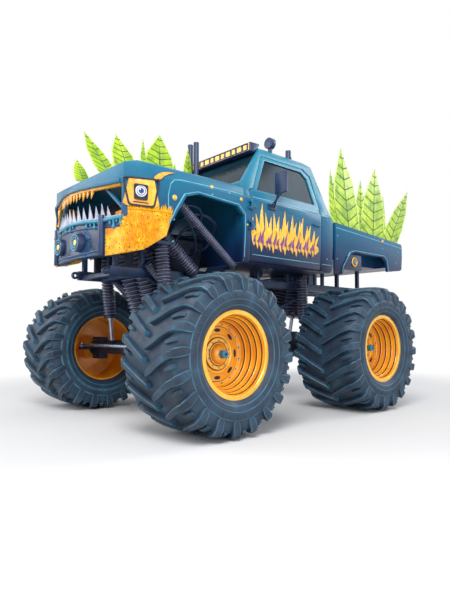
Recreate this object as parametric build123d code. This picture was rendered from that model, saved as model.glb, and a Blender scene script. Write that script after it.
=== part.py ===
from build123d import *
import math
import os

# Monster truck in the shape of a beast, at its real size. Lengths are millimetres.
# X points to the nose, Y to the left side and Z up. While it is modelled, X = 0 lies midway
# between the axles and Z = 0 is the floor. At the end the origin moves to the middle of its box.

# Stance
track = 2700
tyre_diameter = 1680
tyre_width = 970
bead_diameter = 880
axle_height = tyre_diameter / 2

# Body, from the sill up: to the belt, and from the belt to the hood's ridge and to the roof
sill_height = 1930
body_height = 940
hood_rise = 115
roof_rise = 760
body_half_width = 985
cab_length = 1800
front_length = 1860
firewall_setback = 880
rear_axle_setback = 20
bed_gap = 70
bed_length = 1920
skin = 42
shut_gap = 8

# Clearances
pin_clearance = 0.3
seat_clearance = 0.3
running_clearance = 6
overrun = 5

# Tyre
lugs_per_side = 20
tyre_facets = 2 * lugs_per_side
lug_height = 62
lug_width = 74
tread_half_width = 415
shoulder_drop = 70
sidewall_height = 130

# Rim
rim_wall = 16
rim_lip = 30
disc_offset = 90
disc_thickness = 26
bowl_radius = 300
hub_radius = 165
hub_face = 140
hub_inner = 190
dome_radius = 100
dome_height = 60
nut_radius = 46
nut_height = 55

# Axles, knuckles and steering
axle_tube_radius = 78
diff_radius = 185
diff_width = 300
kingpin_y = 1100
kingpin_radius = 26
yoke_half_height = 150
yoke_thickness = 38
yoke_half_width = 62
yoke_back = 150
knuckle_half_width = 62
spindle_radius = 70
spindle_flange_radius = 104
spindle_flange = 22
steering_arm = 260
steering_arm_width = 60
steering_arm_height = 40
rod_pin_radius = 14
rod_eye_radius = 34
rod_eye_height = 50
tie_rod_radius = 20
pivot_slack = 3

# Frame
rail_y = 380
rail_width = 60
rail_height = 110
mount_height = 120
frame_front_setback = 310
frame_rear_setback = 320
belly_half_length = 520
belly_drop = 460
belly_rail = 60
tow_eye_radius = 45
tow_eye_bore = 20
tow_eye_width = 40

# Links between the belly frame and the axles
link_radius = 32
link_tang = 70
link_tang_thickness = 36
bracket_thickness = 14
link_shoulder = 62
lower_link_y = 300
upper_link_y = 240
upper_link_rise = 190

# Bellows, hoses and shocks
tower_rise = 250
large_bellows_radius = 150
outer_bellows_radius = 84
middle_bellows_radius = 88
low_bellows_radius = 62
hose_radius = 48

# Crest plates
crest_thickness = 30
crest_strip = 14
hood_crest_height = 680
bed_crest_height = 1210

# Engine, gearbox and shafts
engine_length = 640
engine_width = 560
engine_height = 560
gearbox_width = 300
shaft_radius = 38

# Door hinge and tailgate
hinge_radius = 18
hinge_pin_radius = 10
hinge_length = 90
hinge_setback = 98
hinge_stand_off = 20
tailgate_thickness = 50
tailgate_pin_radius = 14

# Lamps and roof pieces
bar_half_width = 680
bar_depth = 80
bar_height = 120
lamp_radius = 80
stack_radius = 38
stack_length = 695

# Places along the truck
wheelbase = firewall_setback + cab_length + rear_axle_setback
front_axle_x = wheelbase / 2
rear_axle_x = -front_axle_x
wheel_y = track / 2
firewall_x = front_axle_x - firewall_setback
nose_x = firewall_x + front_length
cab_rear_x = firewall_x - cab_length
bed_front_x = cab_rear_x - bed_gap
bed_rear_x = bed_front_x - bed_length
frame_front_x = nose_x - frame_front_setback
frame_rear_x = bed_rear_x + frame_rear_setback
hinge_x = firewall_x - hinge_setback

# Heights
belt_height = sill_height + body_height
hood_height = belt_height + hood_rise
roof_height = belt_height + roof_rise
front_height = hood_height - sill_height
cab_height = roof_height - sill_height
rail_top = sill_height - mount_height
rail_bottom = rail_top - rail_height
belly_bottom = rail_bottom - belly_drop


# Shared helpers

def block(x0, x1, y0, y1, z0, z1):
    """A box between two planes along each axis."""
    middle = Pos((x0 + x1) / 2, (y0 + y1) / 2, (z0 + z1) / 2)
    return middle * Box(abs(x1 - x0), abs(y1 - y0), abs(z1 - z0))


def side_face(points, y=0):
    """A flat face drawn in the side view, as (x, z) points."""
    return Plane.XZ.offset(-y) * Polygon(*points, align=None)


def side_prism(points, y_low, y_high):
    return extrude(side_face(points, y_high), amount=y_high - y_low, dir=(0, -1, 0))


def plan_prism(points, z_low, z_high):
    face = Plane.XY.offset(z_low) * Polygon(*points, align=None)
    return extrude(face, amount=z_high - z_low, dir=(0, 0, 1))


def cross_prism(points, x_low, x_high):
    face = Plane.YZ.offset(x_low) * Polygon(*points, align=None)
    return extrude(face, amount=x_high - x_low, dir=(1, 0, 0))


def inset(points, wall):
    """The points of a closed outline, moved inward by a wall's thickness."""
    face = offset(Polygon(*points, align=None), amount=-wall, kind=Kind.INTERSECTION)
    return [(v.X, v.Y) for v in face.face().outer_wire().order_edges().vertices()]


def grown(points, amount):
    """The points of a closed outline, moved outward, or as they are."""
    return inset(points, -amount) if amount else points


def rod(start, end, radius):
    way = Vector(*end) - Vector(*start)
    return Solid.make_cylinder(radius, way.length, Plane(origin=start, z_dir=way))


def cross_rod(x, z, radius, y_low, y_high):
    """A cylinder that lies across the truck."""
    return rod((x, y_low, z), (x, y_high, z), radius)


def both_sides(shape):
    return [shape, mirror(shape, about=Plane.XZ)]


def fuse(shapes):
    first, *others = shapes
    return first.fuse(*others).clean() if others else first


def spread(rows, x0, length, z0, height):
    """Outline points from rows of (share of length, share of height)."""
    return [(x0 + s * length, z0 + t * height) for s, t in rows]


def faceted_ring(profile, sides):
    """A ring about the Y axis with flat facets, from a closed (radius, y) profile.

    Each radius is measured to the corners, so the ring stays inside the round one."""
    turn = 2 * math.pi / sides
    faces = []
    for (r0, y0), (r1, y1) in zip(profile, profile[1:] + profile[:1]):
        for k in range(sides):
            a, b = k * turn, (k + 1) * turn
            corners = [
                (r0 * math.cos(a), y0, r0 * math.sin(a)),
                (r0 * math.cos(b), y0, r0 * math.sin(b)),
                (r1 * math.cos(b), y1, r1 * math.sin(b)),
                (r1 * math.cos(a), y1, r1 * math.sin(a)),
            ]
            faces.append(Face(Wire.make_polygon(corners, close=True)))
    return Solid(Shell(faces))


# Body sections

# Lower body side, from the sill up to the belt: share of half width, share of body height.
side_section_shares = [(0.95, 0.0), (0.975, 0.05), (1.0, 0.44), (1.0, 0.86), (0.97, 0.915), (0.955, 1.0)]
# Roof of the cab above the belt: share of half width, share of the roof's rise.
roof_section_shares = [(0.75, 0.86), (0.66, 0.955), (0.0, 1.0)]
# Hood above the belt: share of half width, share of the hood's rise.
hood_section_shares = [(0.80, 0.62), (0.10, 1.0), (0.0, 1.0)]
# Half width of the front in plan: share of the front's length, share of half width.
taper_shares = [(0.0, 1.0), (0.68, 1.0), (0.885, 0.855), (0.985, 0.22), (1.0, 0.0)]


def body_section(top_shares, rise):
    half = [(s * body_half_width, sill_height + t * body_height) for s, t in side_section_shares]
    half += [(s * body_half_width, belt_height + t * rise) for s, t in top_shares]
    left = [(-y, z) for y, z in reversed(half) if y > 0]
    return half + left


def taper_plan():
    half = [(firewall_x + s * front_length, t * body_half_width) for s, t in taper_shares]
    return half + [(x, -y) for x, y in reversed(half) if y > 0]


# Cab

# Foot of the windshield's slope: share of cab height. Its head: share of length, share of height.
cowl_share = 0.6
header_x_share = 0.683
header_z_share = 0.994
# Cab in side view: share of length from its rear, share of height over the sill.
cab_side_shares = [
    (0.0, 0.0), (1.0, 0.0), (1.0, cowl_share), (header_x_share, header_z_share),
    (0.18, 1.0), (0.11, 0.93), (0.044, 0.571), (0.0, 0.453),
]
# Door in side view: share of cab length from its rear, share of cab height.
door_shares = [
    (0.155, 0.012), (0.939, 0.012), (0.939, 0.548), (0.892, 0.573),
    (0.717, 0.888), (0.251, 0.888), (0.176, 0.83), (0.155, 0.56),
]
# Door window, on the same terms.
window_shares = [(0.2, 0.565), (0.86, 0.565), (0.69, 0.855), (0.268, 0.855), (0.215, 0.8)]
# Windshield opening: share of half width at its foot and head, share of the slope.
windshield_shares = [(0.86, 0.06), (0.70, 0.86)]
# Rear window: share of half width, and its foot and head as shares of the roof's rise.
rear_window_shares = [0.57, 0.118, 0.67]
glass_thickness = 8


def cab_outer():
    side = side_prism(spread(cab_side_shares, cab_rear_x, cab_length, sill_height, cab_height),
                      -body_half_width - overrun, body_half_width + overrun)
    section = cross_prism(body_section(roof_section_shares, roof_rise),
                          cab_rear_x - overrun, firewall_x + overrun)
    return side & section


def cab_inner(wall):
    side = side_prism(inset(spread(cab_side_shares, cab_rear_x, cab_length, sill_height, cab_height), wall),
                      -body_half_width, body_half_width)
    section = cross_prism(inset(body_section(roof_section_shares, roof_rise), wall),
                          cab_rear_x, firewall_x)
    return side & section


def door_points():
    return spread(door_shares, cab_rear_x, cab_length, sill_height, cab_height)


def window_points():
    return spread(window_shares, cab_rear_x, cab_length, sill_height, cab_height)


def windshield_face_prism(grow=0):
    """The windshield opening, seen from the front."""
    foot_z = sill_height + cowl_share * cab_height
    head_z = sill_height + header_z_share * cab_height
    rows = []
    for wide, up in windshield_shares:
        rows.append((wide * body_half_width + grow, foot_z + up * (head_z - foot_z)))
    (y0, z0), (y1, z1) = rows
    points = [(y0, z0 - grow), (y1, z1 + grow), (-y1, z1 + grow), (-y0, z0 - grow)]
    return cross_prism(points, cab_rear_x + cab_length / 2, firewall_x + overrun)


def rear_window_prism(grow=0):
    wide, foot, head = rear_window_shares
    half = wide * body_half_width + grow
    return block(cab_rear_x - overrun, cab_rear_x + cab_length / 3, -half, half,
                 belt_height + foot * roof_rise - grow, belt_height + head * roof_rise + grow)


def side_reach(z):
    """Half width of the cab's outside at a height."""
    rows = [(s * body_half_width, sill_height + t * body_height) for s, t in side_section_shares]
    rows += [(s * body_half_width, belt_height + t * roof_rise) for s, t in roof_section_shares]
    for (y0, z0), (y1, z1) in zip(rows, rows[1:]):
        if z0 <= z <= z1:
            return y0 + (y1 - y0) * (z - z0) / (z1 - z0)
    return rows[0][0]


def swing_room(x, z):
    """How far the door's inner rear edge moves back as the door opens."""
    if x > cab_rear_x + cab_length / 2:
        return 0
    back = hinge_x - x
    depth = body_half_width + hinge_stand_off + 2 * skin - skin / 2 - side_reach(z)
    return math.hypot(back, depth) - back


def cab_floor(clearance=0):
    """The slab between the inner faces of the cab's side walls, which the doors stay clear of."""
    half = side_reach(sill_height) - skin - clearance
    return block(cab_rear_x - overrun, firewall_x + overrun, -half, half, sill_height - overrun, sill_height + skin)


def door_opening():
    """The doorway is larger than the door by the shut lines, and at the rear by the door's swing."""
    points = [(x - swing_room(x, z), z) for x, z in door_points()]
    face = offset(side_face(points, body_half_width + overrun), amount=shut_gap, kind=Kind.INTERSECTION)
    return extrude(face, amount=2 * body_half_width / 3, dir=(0, -1, 0)) - cab_floor(shut_gap)


def hinge_ear(z):
    """A fixed lug beside the shut line that carries the door's pin."""
    y = body_half_width + hinge_stand_off
    root = block(hinge_x, hinge_x + 3 * hinge_radius, body_half_width - skin / 2, y + hinge_radius / 2,
                 z, z + hinge_length / 3)
    return root + rod((hinge_x, y, z), (hinge_x, y, z + hinge_length / 3), hinge_radius)


handle_length = 160
handle_height = 24
handle_stand_off = 22
# Place of the door's handle: rear end as a share of the cab's length, height as a share of the body's.
handle_share = 0.172
handle_rise_share = 0.68
# Heights of the door's two hinges, as shares of the body's height over the sill.
hinge_shares = [0.5, 0.78]


def hinge_heights():
    return [sill_height + share * body_height for share in hinge_shares]


def cab_shell():
    shell = cab_outer() - cab_inner(skin) - windshield_face_prism() - rear_window_prism()
    opening = door_opening()
    shell = shell - opening - mirror(opening, about=Plane.XZ)
    pieces = [shell]
    y = body_half_width + hinge_stand_off
    for z in hinge_heights():
        upper = hinge_ear(z + hinge_length / 3)
        lower = hinge_ear(z - 2 * hinge_length / 3)
        pin = rod((hinge_x, y, z - hinge_length / 3), (hinge_x, y, z + hinge_length / 3), hinge_pin_radius)
        for piece in (upper, lower, pin):
            pieces += both_sides(piece)
    return fuse(pieces)


def door():
    side = side_prism(door_points(), body_half_width / 2, body_half_width + overrun)
    panel = ((cab_outer() - cab_inner(skin)) & side) - cab_floor()
    panel = panel - side_prism(window_points(), 0, body_half_width + overrun)
    pieces = [panel.solid()]
    y = body_half_width + hinge_stand_off
    gap = pin_clearance * 2
    for z in hinge_heights():
        low, high = z - hinge_length / 3 + gap, z + hinge_length / 3 - gap
        edge = door_points()[1][0]
        root = block(hinge_x - 4 * hinge_radius, edge - seat_clearance, body_half_width - skin / 2, y, low, high)
        strap = block(hinge_x - 4 * hinge_radius, hinge_x, y - hinge_radius, y, low, high)
        barrel = rod((hinge_x, y, low), (hinge_x, y, high), hinge_radius)
        pieces += [root, strap, barrel]
    pieces.append(door_handle())
    bores = rod((hinge_x, y, sill_height), (hinge_x, y, belt_height), hinge_pin_radius + pin_clearance)
    return fuse(pieces) - bores


def door_handle():
    """A grip on two feet, near the door's rear edge."""
    x0 = cab_rear_x + handle_share * cab_length
    z0 = sill_height + handle_rise_share * body_height
    face, end = body_half_width - skin / 2, body_half_width + handle_stand_off
    grip = block(x0, x0 + handle_length, end - handle_height / 2, end, z0, z0 + handle_height)
    feet = [block(x, x + handle_height, face, end, z0, z0 + handle_height)
            for x in (x0, x0 + handle_length - handle_height)]
    return fuse([grip] + feet)


def door_glass():
    """The pane lies inside the door's frame, midway through its thickness."""
    layer = cab_inner(skin / 2 - glass_thickness / 2) - cab_inner(skin / 2 + glass_thickness / 2)
    side = side_prism(inset(window_points(), pin_clearance), 0, body_half_width + overrun)
    return (layer & side).solid()


def cab_glass():
    layer = cab_inner(skin / 2 - glass_thickness / 2) - cab_inner(skin / 2 + glass_thickness / 2)
    front = layer & windshield_face_prism(-pin_clearance)
    rear = layer & rear_window_prism(-pin_clearance)
    return [front, rear]


# Front body

mouth_rise = 355
mouth_height = 360
mouth_corner_share = 0.86
# Front body in side view: share of front length from the firewall, share of front height.
front_side_shares = [
    (0.0, 0.0), (0.6, 0.0), (0.6, 0.42), (mouth_corner_share, 0.42), (mouth_corner_share, 0.33), (1.0, 0.33),
    (1.0, 0.685), (0.985, 0.77), (0.88, 0.885), (0.76, 0.935), (0.54, 0.985), (0.3, 1.0), (0.0, 1.0),
]
# Front wheel arch, on the same terms.
front_arch_shares = [
    (0.02, -0.1), (0.02, 0.54), (0.08, 0.64), (0.4, 0.675), (0.5, 0.62), (0.57, 0.42), (0.61, 0.3), (0.61, -0.1),
]
arch_lip_width = 34
mouth_lip_width = 46
lip_stand_off = 14
# Hood vents: front-body shares of their rear and front ends.
scoop_shares = [0.70, 0.86]
scoop_width = 330
scoop_height = 42
scoop_slots = 4
scoop_slot = 22
mouth_half_width = 820
mouth_low = sill_height + mouth_rise
mouth_high = mouth_low + mouth_height
mouth_depth = 420


def front_outer():
    side = side_prism(spread(front_side_shares, firewall_x, front_length, sill_height, front_height),
                      -body_half_width - overrun, body_half_width + overrun)
    section = cross_prism(body_section(hood_section_shares, hood_height - belt_height),
                          firewall_x + seat_clearance, nose_x + overrun)
    plan = plan_prism(taper_plan(), sill_height - overrun, hood_height + overrun)
    return side & section & plan


def front_inner():
    """The hollow under the hood, open at the bottom and at the firewall."""
    top_shares = [row for row in front_side_shares if row[1] > 0.42]
    line = spread(top_shares, firewall_x, front_length, sill_height, front_height)
    points = [(x - skin * (x > firewall_x + front_length * 0.9), z - skin) for x, z in line]
    points = [(nose_x - skin, sill_height - overrun)] + points + [(firewall_x - overrun, hood_height - skin)]
    points += [(firewall_x - overrun, sill_height - overrun)]
    side = side_prism(points, -body_half_width, body_half_width)
    section = inset(body_section(hood_section_shares, hood_height - belt_height), skin)
    section = [(y, z if z > sill_height + 2 * skin else sill_height - overrun) for y, z in section]
    plan = inset(taper_plan(), skin)
    plan = [(x if x > firewall_x + 2 * skin else firewall_x - overrun, y) for x, y in plan]
    return side & cross_prism(section, firewall_x - overrun, nose_x) & plan_prism(
        plan, sill_height - 2 * overrun, hood_height)


def front_clip():
    arch = side_prism(spread(front_arch_shares, firewall_x, front_length, sill_height, front_height),
                      -body_half_width - overrun, body_half_width + overrun)
    mouth = block(nose_x - mouth_depth, nose_x + overrun, -mouth_half_width, mouth_half_width,
                  mouth_low - lip_drop, mouth_high)
    outer = front_outer()
    shell = outer - front_inner() - arch - mouth
    for hole in both_sides(headlamp(grow=seat_clearance, through=skin)):
        shell = shell - hole
    braces = [brace & outer for brace in both_sides(mouth_brace())]
    return fuse([shell, *both_sides(hose_bracket()), *braces, *front_lips(), *hood_scoops()])


def front_layer(low, high):
    """A layer over the front's skin between two heights above it."""
    solids = []
    for amount in (low, high):
        section = cross_prism(grown(body_section(hood_section_shares, hood_rise), amount),
                              firewall_x + seat_clearance, nose_x + 2 * overrun + amount)
        plan = plan_prism(grown(taper_plan(), amount), sill_height, hood_height + 2 * high)
        solids.append(section & plan)
    return solids[1] - solids[0]


def arch_band(points):
    """A band round an arch's opening, through the left side of the body."""
    inner, outer = body_half_width - 4 * skin, body_half_width + 2 * lip_stand_off
    wide = side_prism(grown(points, arch_lip_width), inner, outer)
    return wide - side_prism(points, inner - overrun, outer + overrun)


def front_lips():
    """Raised lips round the front wheel arches and over the mouth."""
    arch = spread(front_arch_shares, firewall_x, front_length, sill_height, front_height)
    side = side_prism(spread(front_side_shares, firewall_x, front_length, sill_height, front_height),
                      0, body_half_width + 2 * lip_stand_off)
    layer = front_layer(-skin / 2, lip_stand_off)
    reach = mouth_half_width - mouth_lip_width / 2
    top = block(nose_x - mouth_depth, nose_x + 2 * lip_stand_off, -reach, reach, mouth_high,
                mouth_high + mouth_lip_width)
    return both_sides(arch_band(arch) & layer & side) + [top & layer]


def hood_scoops():
    """A raised vent on each side of the ridge, behind the nose."""
    x0, x1 = (firewall_x + share * front_length for share in scoop_shares)
    y0, y1 = crest_thickness, scoop_width
    line = [(x0, hood_line(x0) - skin), (x1, hood_line(x1) - skin), (x1, hood_line(x1)),
            ((x0 + x1) / 2, hood_line(x0) + scoop_height), (x0, hood_line(x0) + scoop_height)]
    scoop = side_prism(line, y0, y1)
    slots = []
    for k in range(scoop_slots):
        x = x0 + (k + 1) * (x1 - x0) / 2 / (scoop_slots + 1)
        slots.append(block(x - scoop_slot / 2, x + scoop_slot / 2, y0 + scoop_slot, y1 - scoop_slot,
                           hood_line(x0) + scoop_height / 2, hood_line(x0) + 2 * scoop_height))
    for slot in slots:
        scoop = scoop - slot
    return both_sides(scoop)


def mouth_brace():
    """A tube across the corner of the mouth."""
    low, high = [(firewall_x + s * front_length, t * body_half_width, sill_height + u * front_height)
                 for s, t, u in brace_shares]
    return rod(low, high, brace_radius)


def hose_bracket():
    """The plate inside the fender that the upper end of a hose meets."""
    return end_plate(hose_row, 1, hose_row[0], body_half_width - skin / 2)


# Headlamps in the cheeks of the front

lamp_width = 390
lamp_tall = 300
lamp_rise = 615
lamp_height = sill_height + lamp_rise
lamp_centre_share = 0.79
lamp_depth = 50
lamp_stand = 14
# Lamp outline: share of width, share of height, from its centre.
lamp_outline_shares = [(-0.36, -0.5), (0.34, -0.47), (0.5, 0.42), (0.4, 0.5), (-0.44, 0.5), (-0.5, 0.4)]


# Brow outline: share of the front's length, share of the lamp's height from its centre.
brow_shares = [
    (0.72, 0.53), (0.685, 0.55), (0.662, 0.70), (0.62, 0.84), (0.575, 0.945), (0.625, 0.92), (0.668, 0.845),
    (0.70, 0.74), (0.72, 0.62),
]


def cheek_plane():
    """The plane of the left cheek, which tapers to the nose."""
    (s0, t0), (s1, t1) = taper_shares[1], taper_shares[2]
    start = Vector(firewall_x + s0 * front_length, t0 * body_half_width, lamp_height)
    end = Vector(firewall_x + s1 * front_length, t1 * body_half_width, lamp_height)
    along = (end - start).normalized()
    share = (lamp_centre_share - s0) / (s1 - s0)
    return Plane(origin=start + (end - start) * share, x_dir=along, z_dir=Vector(0, 0, 1).cross(along))


def brow():
    """A crescent over the headlamp that lies on the skin of the front."""
    points = [(firewall_x + s * front_length, lamp_height + t * lamp_tall) for s, t in brow_shares]
    horn = side_prism(points, 0, body_half_width + 2 * lamp_stand)
    return horn & front_layer(seat_clearance, lamp_stand)


def headlamp(grow=0, through=0):
    outline = [(s * lamp_width, t * lamp_tall) for s, t in lamp_outline_shares]
    face = Polygon(*outline, align=None)
    if grow:
        face = offset(face, amount=grow, kind=Kind.INTERSECTION)
    plane = cheek_plane()
    inner = plane.offset(-lamp_depth - through)
    return extrude(inner * face, amount=lamp_depth + lamp_stand + 2 * through, dir=plane.z_dir)


# Mouth

lip_thickness = 110
lip_drop = 115
gum = 26
tooth_depth = 34
gum_reach_share = 0.95
# Upper teeth: share of mouth half width across, length, width.
upper_tooth_rows = [
    (-0.97, 170, 62), (-0.5, 78, 40), (-0.44, 92, 40), (-0.37, 70, 38), (-0.3, 100, 44), (-0.22, 76, 40),
    (-0.15, 96, 44), (-0.07, 84, 40), (0.0, 104, 46), (0.08, 86, 40), (0.15, 100, 44), (0.23, 74, 40),
    (0.31, 108, 46), (0.39, 82, 40), (0.47, 96, 42),
]
# Lower teeth, on the same terms.
lower_tooth_rows = [
    (-0.9, 96, 46), (-0.8, 120, 52), (-0.69, 150, 60), (-0.57, 168, 62), (-0.45, 140, 58), (-0.33, 172, 62),
    (-0.2, 150, 58), (-0.08, 176, 64), (0.05, 158, 60), (0.17, 180, 64), (0.3, 152, 58), (0.42, 174, 62),
    (0.54, 146, 58), (0.65, 160, 58), (0.76, 120, 50),
]


def nose_line(y):
    """How far forward the plan of the front reaches at a distance from its middle."""
    rows = [(firewall_x + s * front_length, t * body_half_width) for s, t in taper_shares]
    for (x0, y0), (x1, y1) in zip(rows, rows[1:]):
        if y1 <= abs(y) <= y0 and y0 > y1:
            return x0 + (x1 - x0) * (y0 - abs(y)) / (y0 - y1)
    return rows[0][0]


def spike(base, tip):
    """A pointed solid on a flat base of corner points."""
    faces = [Face(Wire.make_polygon(base, close=True))]
    for a, b in zip(base, base[1:] + base[:1]):
        faces.append(Face(Wire.make_polygon([a, b, tip], close=True)))
    return Solid(Shell(faces))


def plan_band(outside, inside, x_low, z_low, z_high, half_width):
    """A band that follows the plan of the front, ahead of one X plane."""
    band = plan_prism(inset(taper_plan(), outside), z_low, z_high)
    band = band - plan_prism(inset(taper_plan(), inside), z_low - overrun, z_high + overrun)
    return band & block(x_low, nose_x + overrun, -half_width, half_width, z_low, z_high)


def tooth_row(rows, z_base, way, gum_z, outside):
    """Teeth on a gum strip that follows the lip; way is 1 up or -1 down."""
    corner_x = firewall_x + mouth_corner_share * front_length + seat_clearance
    pieces = [plan_band(outside, outside + skin, corner_x, *sorted((z_base, gum_z)),
                        gum_reach_share * mouth_half_width)]
    for share, length, width in rows:
        y = share * mouth_half_width * gum_reach_share
        x = nose_line(y) - outside - skin / 2
        root = z_base - way * overrun
        base = [(x - tooth_depth / 2, y - width / 2, root), (x + tooth_depth / 3, y - width / 2, root),
                (x + tooth_depth / 3, y + width / 2, root), (x - tooth_depth / 2, y + width / 2, root)]
        pieces.append(spike(base, (x + tooth_depth / 2, y, z_base + way * length)))
    return fuse(pieces)


def upper_teeth():
    return tooth_row(upper_tooth_rows, mouth_high - gum, -1, mouth_high - seat_clearance, gum / 2)


def lower_teeth():
    return tooth_row(lower_tooth_rows, mouth_low + gum, 1, mouth_low + seat_clearance, gum)


brace_radius = 22
# Ends of the tube in the mouth's corner: share of front length, of body half width, of front height.
brace_shares = [(0.8656, 0.843, 0.393), (0.906, 0.31, 0.839)]


# Jaw and bumper

jaw_inner_y = 600
# Lower side of a cheek of the jaw in side view: share of front length, share of front height.
jaw_shares = [(0.6, 0.38), (0.64, 0.17), (0.77, 0.01), (0.95, -0.06), (1.0, -0.05)]
bumper_drop = 45
bumper_bottom = sill_height - bumper_drop
guard_y = 562
guard_radius = 34
guard_overhang = 5
front_lamp_radius = 98
front_lamp_rise = 120
front_lamp_height = sill_height + front_lamp_rise
front_lamp_y = 220
front_lamp_depth = 60


def jaw_points():
    """The cheek's side view; its top meets the bottom of the front body."""
    lower = spread(jaw_shares, firewall_x, front_length, sill_height, front_height)
    (x0, z0), (x1, z1), (x2, z2) = [
        (firewall_x + s * front_length, sill_height + t * front_height - seat_clearance)
        for s, t in front_side_shares[2:5]]
    return lower + [(nose_x, z2), (x2, z2), (x1, z1), (x0, z0)]


def lower_jaw():
    """Two hollow cheeks, open to the inside."""
    points = jaw_points()
    cheek = side_prism(points, jaw_inner_y, body_half_width) & plan_prism(
        taper_plan(), sill_height - front_height, hood_height)
    hollow = side_prism(inset(points, skin), jaw_inner_y - overrun, body_half_width - skin)
    hollow = hollow & plan_prism(inset(taper_plan(), skin), sill_height - front_height, hood_height)
    lip_room = block(nose_x - mouth_depth / 2 - seat_clearance, nose_x + overrun, 0,
                     mouth_half_width + seat_clearance, mouth_low - lip_drop - seat_clearance, mouth_high)
    return both_sides(cheek - hollow - lip_room)


def front_bumper():
    lip = plan_band(0, lip_thickness, nose_x - mouth_depth / 2, mouth_low - lip_drop, mouth_low,
                    mouth_half_width - seat_clearance)
    panel = plan_band(0, lip_thickness, nose_x - mouth_depth, bumper_bottom, mouth_low - lip_drop,
                      jaw_inner_y - seat_clearance)
    pieces = [lip, panel]
    guard_x = nose_line(guard_y) + guard_radius / 2
    for side in (-1, 1):
        pieces.append(rod((guard_x, side * guard_y, bumper_bottom - guard_overhang),
                          (guard_x, side * guard_y, mouth_low + guard_radius), guard_radius))
    bumper = fuse(pieces)
    for side in (-1, 1):
        bumper = bumper - front_lamp_round(side, front_lamp_radius + seat_clearance, overrun)
    return bumper


def front_lamp_round(side, radius, extra=0):
    x = nose_line(front_lamp_y)
    return rod((x - front_lamp_depth - extra, side * front_lamp_y, front_lamp_height),
               (x + front_lamp_depth, side * front_lamp_y, front_lamp_height), radius)


def front_lamps():
    return [front_lamp_round(side, front_lamp_radius) for side in (-1, 1)]


radiator_thickness = 80
radiator_half_width = 560
radiator_rise = 70
radiator_height = 600
radiator_offset = 370
radiator_bottom = sill_height + radiator_rise
radiator_x = front_axle_x + radiator_offset


def radiator():
    core = block(radiator_x, radiator_x + radiator_thickness, -radiator_half_width, radiator_half_width,
                 radiator_bottom, radiator_bottom + radiator_height)
    pieces = [core]
    for side in (-1, 1):
        y = side * rail_y
        pieces.append(block(radiator_x, radiator_x + radiator_thickness, y - rail_width / 2, y + rail_width / 2,
                            rail_top + seat_clearance, radiator_bottom))
    return fuse(pieces)


# Bed

bed_height = 760
bed_wall = 50
bed_floor_rise = 240
bed_floor_top = sill_height + bed_floor_rise
bed_floor = 36
house_width = 230
house_rise = 175
house_top = bed_floor_top + house_rise
house_wall = 30
# Bed in side view: share of length from its tail, share of bed height.
bed_side_shares = [
    (1.0, 0.0), (1.0, 1.0), (0.015, 0.845), (0.0, 0.8), (0.0, 0.27), (0.03, 0.235), (0.25, 0.17), (0.88, 0.0),
]
bed_arch_shares = [
    (0.24, -0.1), (0.245, 0.17), (0.275, 0.4), (0.32, 0.475), (0.74, 0.475), (0.8, 0.43), (0.89, 0.15), (0.9, -0.1),
]


def bed_points(shares):
    return spread(shares, bed_rear_x, bed_length, sill_height, bed_height)


def bed_shell():
    half = body_half_width
    side = side_prism(bed_points(bed_side_shares), -half - overrun, half + overrun)
    body = side & cross_prism(body_section([], 0), bed_rear_x - overrun, bed_front_x + overrun)
    inside = half - bed_wall
    floor_rear = bed_rear_x + tailgate_thickness + 2 * running_clearance
    load = block(floor_rear, bed_front_x - bed_wall, -inside, inside, bed_floor_top, belt_height)
    tail = block(bed_rear_x - overrun, floor_rear, -inside, inside, sill_height, belt_height)
    below = block(bed_rear_x - overrun, bed_front_x + overrun, -inside, inside,
                  sill_height - overrun, bed_floor_top - bed_floor)
    body = body - load - tail - below
    arch = bed_points(bed_arch_shares)
    rear, front = min(x for x, z in arch) - house_wall, max(x for x, z in arch) + house_wall
    houses, hollows = [], []
    for way in (-1, 1):
        inner, outer = way * (inside - house_width), way * (inside + house_wall / 2)
        houses.append(block(rear, front, inner, outer, bed_floor_top - bed_floor, house_top))
        hollows.append(block(rear + house_wall, front - house_wall, inner + way * house_wall, outer,
                             sill_height, house_top - house_wall))
    body = fuse([body] + houses)
    for hollow in hollows:
        body = body - hollow
    body = body - side_prism(arch, -half - overrun, -inside) - side_prism(arch, inside, half + overrun)
    layer = cross_prism(grown(body_section([], 0), lip_stand_off), bed_rear_x, bed_front_x)
    layer = layer - cross_prism(grown(body_section([], 0), -skin / 2), bed_rear_x - overrun, bed_front_x + overrun)
    side = side_prism(bed_points(bed_side_shares), 0, half + 2 * lip_stand_off)
    lip = arch_band(arch) & layer & side
    body = fuse([body] + both_sides(lip))
    return body - tailgate_pins(pin_clearance)


tailgate_share = 0.8
tailgate_top = sill_height + tailgate_share * bed_height


def tailgate_axis():
    return (bed_rear_x + tailgate_thickness / 2, bed_floor_top - bed_floor + tailgate_thickness / 2)


def tailgate_pins(grow=0):
    x, z = tailgate_axis()
    reach = body_half_width - bed_wall / 2 - overrun
    return cross_rod(x, z, tailgate_pin_radius + grow, -reach - grow, reach + grow)


def tailgate():
    x, z = tailgate_axis()
    half = body_half_width - bed_wall - running_clearance
    panel = block(bed_rear_x, bed_rear_x + tailgate_thickness, -half, half, z, tailgate_top)
    return fuse([panel, cross_rod(x, z, tailgate_thickness / 2, -half, half), tailgate_pins()])


pod_depth = 150
pod_face_share = 0.975
pod_rear_share = 0.63
pod_height_shares = (0.12, 0.44)


def marker_pods():
    """A rounded lamp pod in the lower front corner of each rear wheel arch."""
    arch = side_prism(inset(bed_points(bed_arch_shares), seat_clearance), body_half_width - pod_depth,
                      pod_face_share * body_half_width)
    rear = bed_rear_x + pod_rear_share * bed_length
    low, high = (sill_height + share * bed_height for share in pod_height_shares)
    cut = block(rear, bed_front_x, 0, body_half_width, low, high)
    return both_sides(arch & cut)


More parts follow.
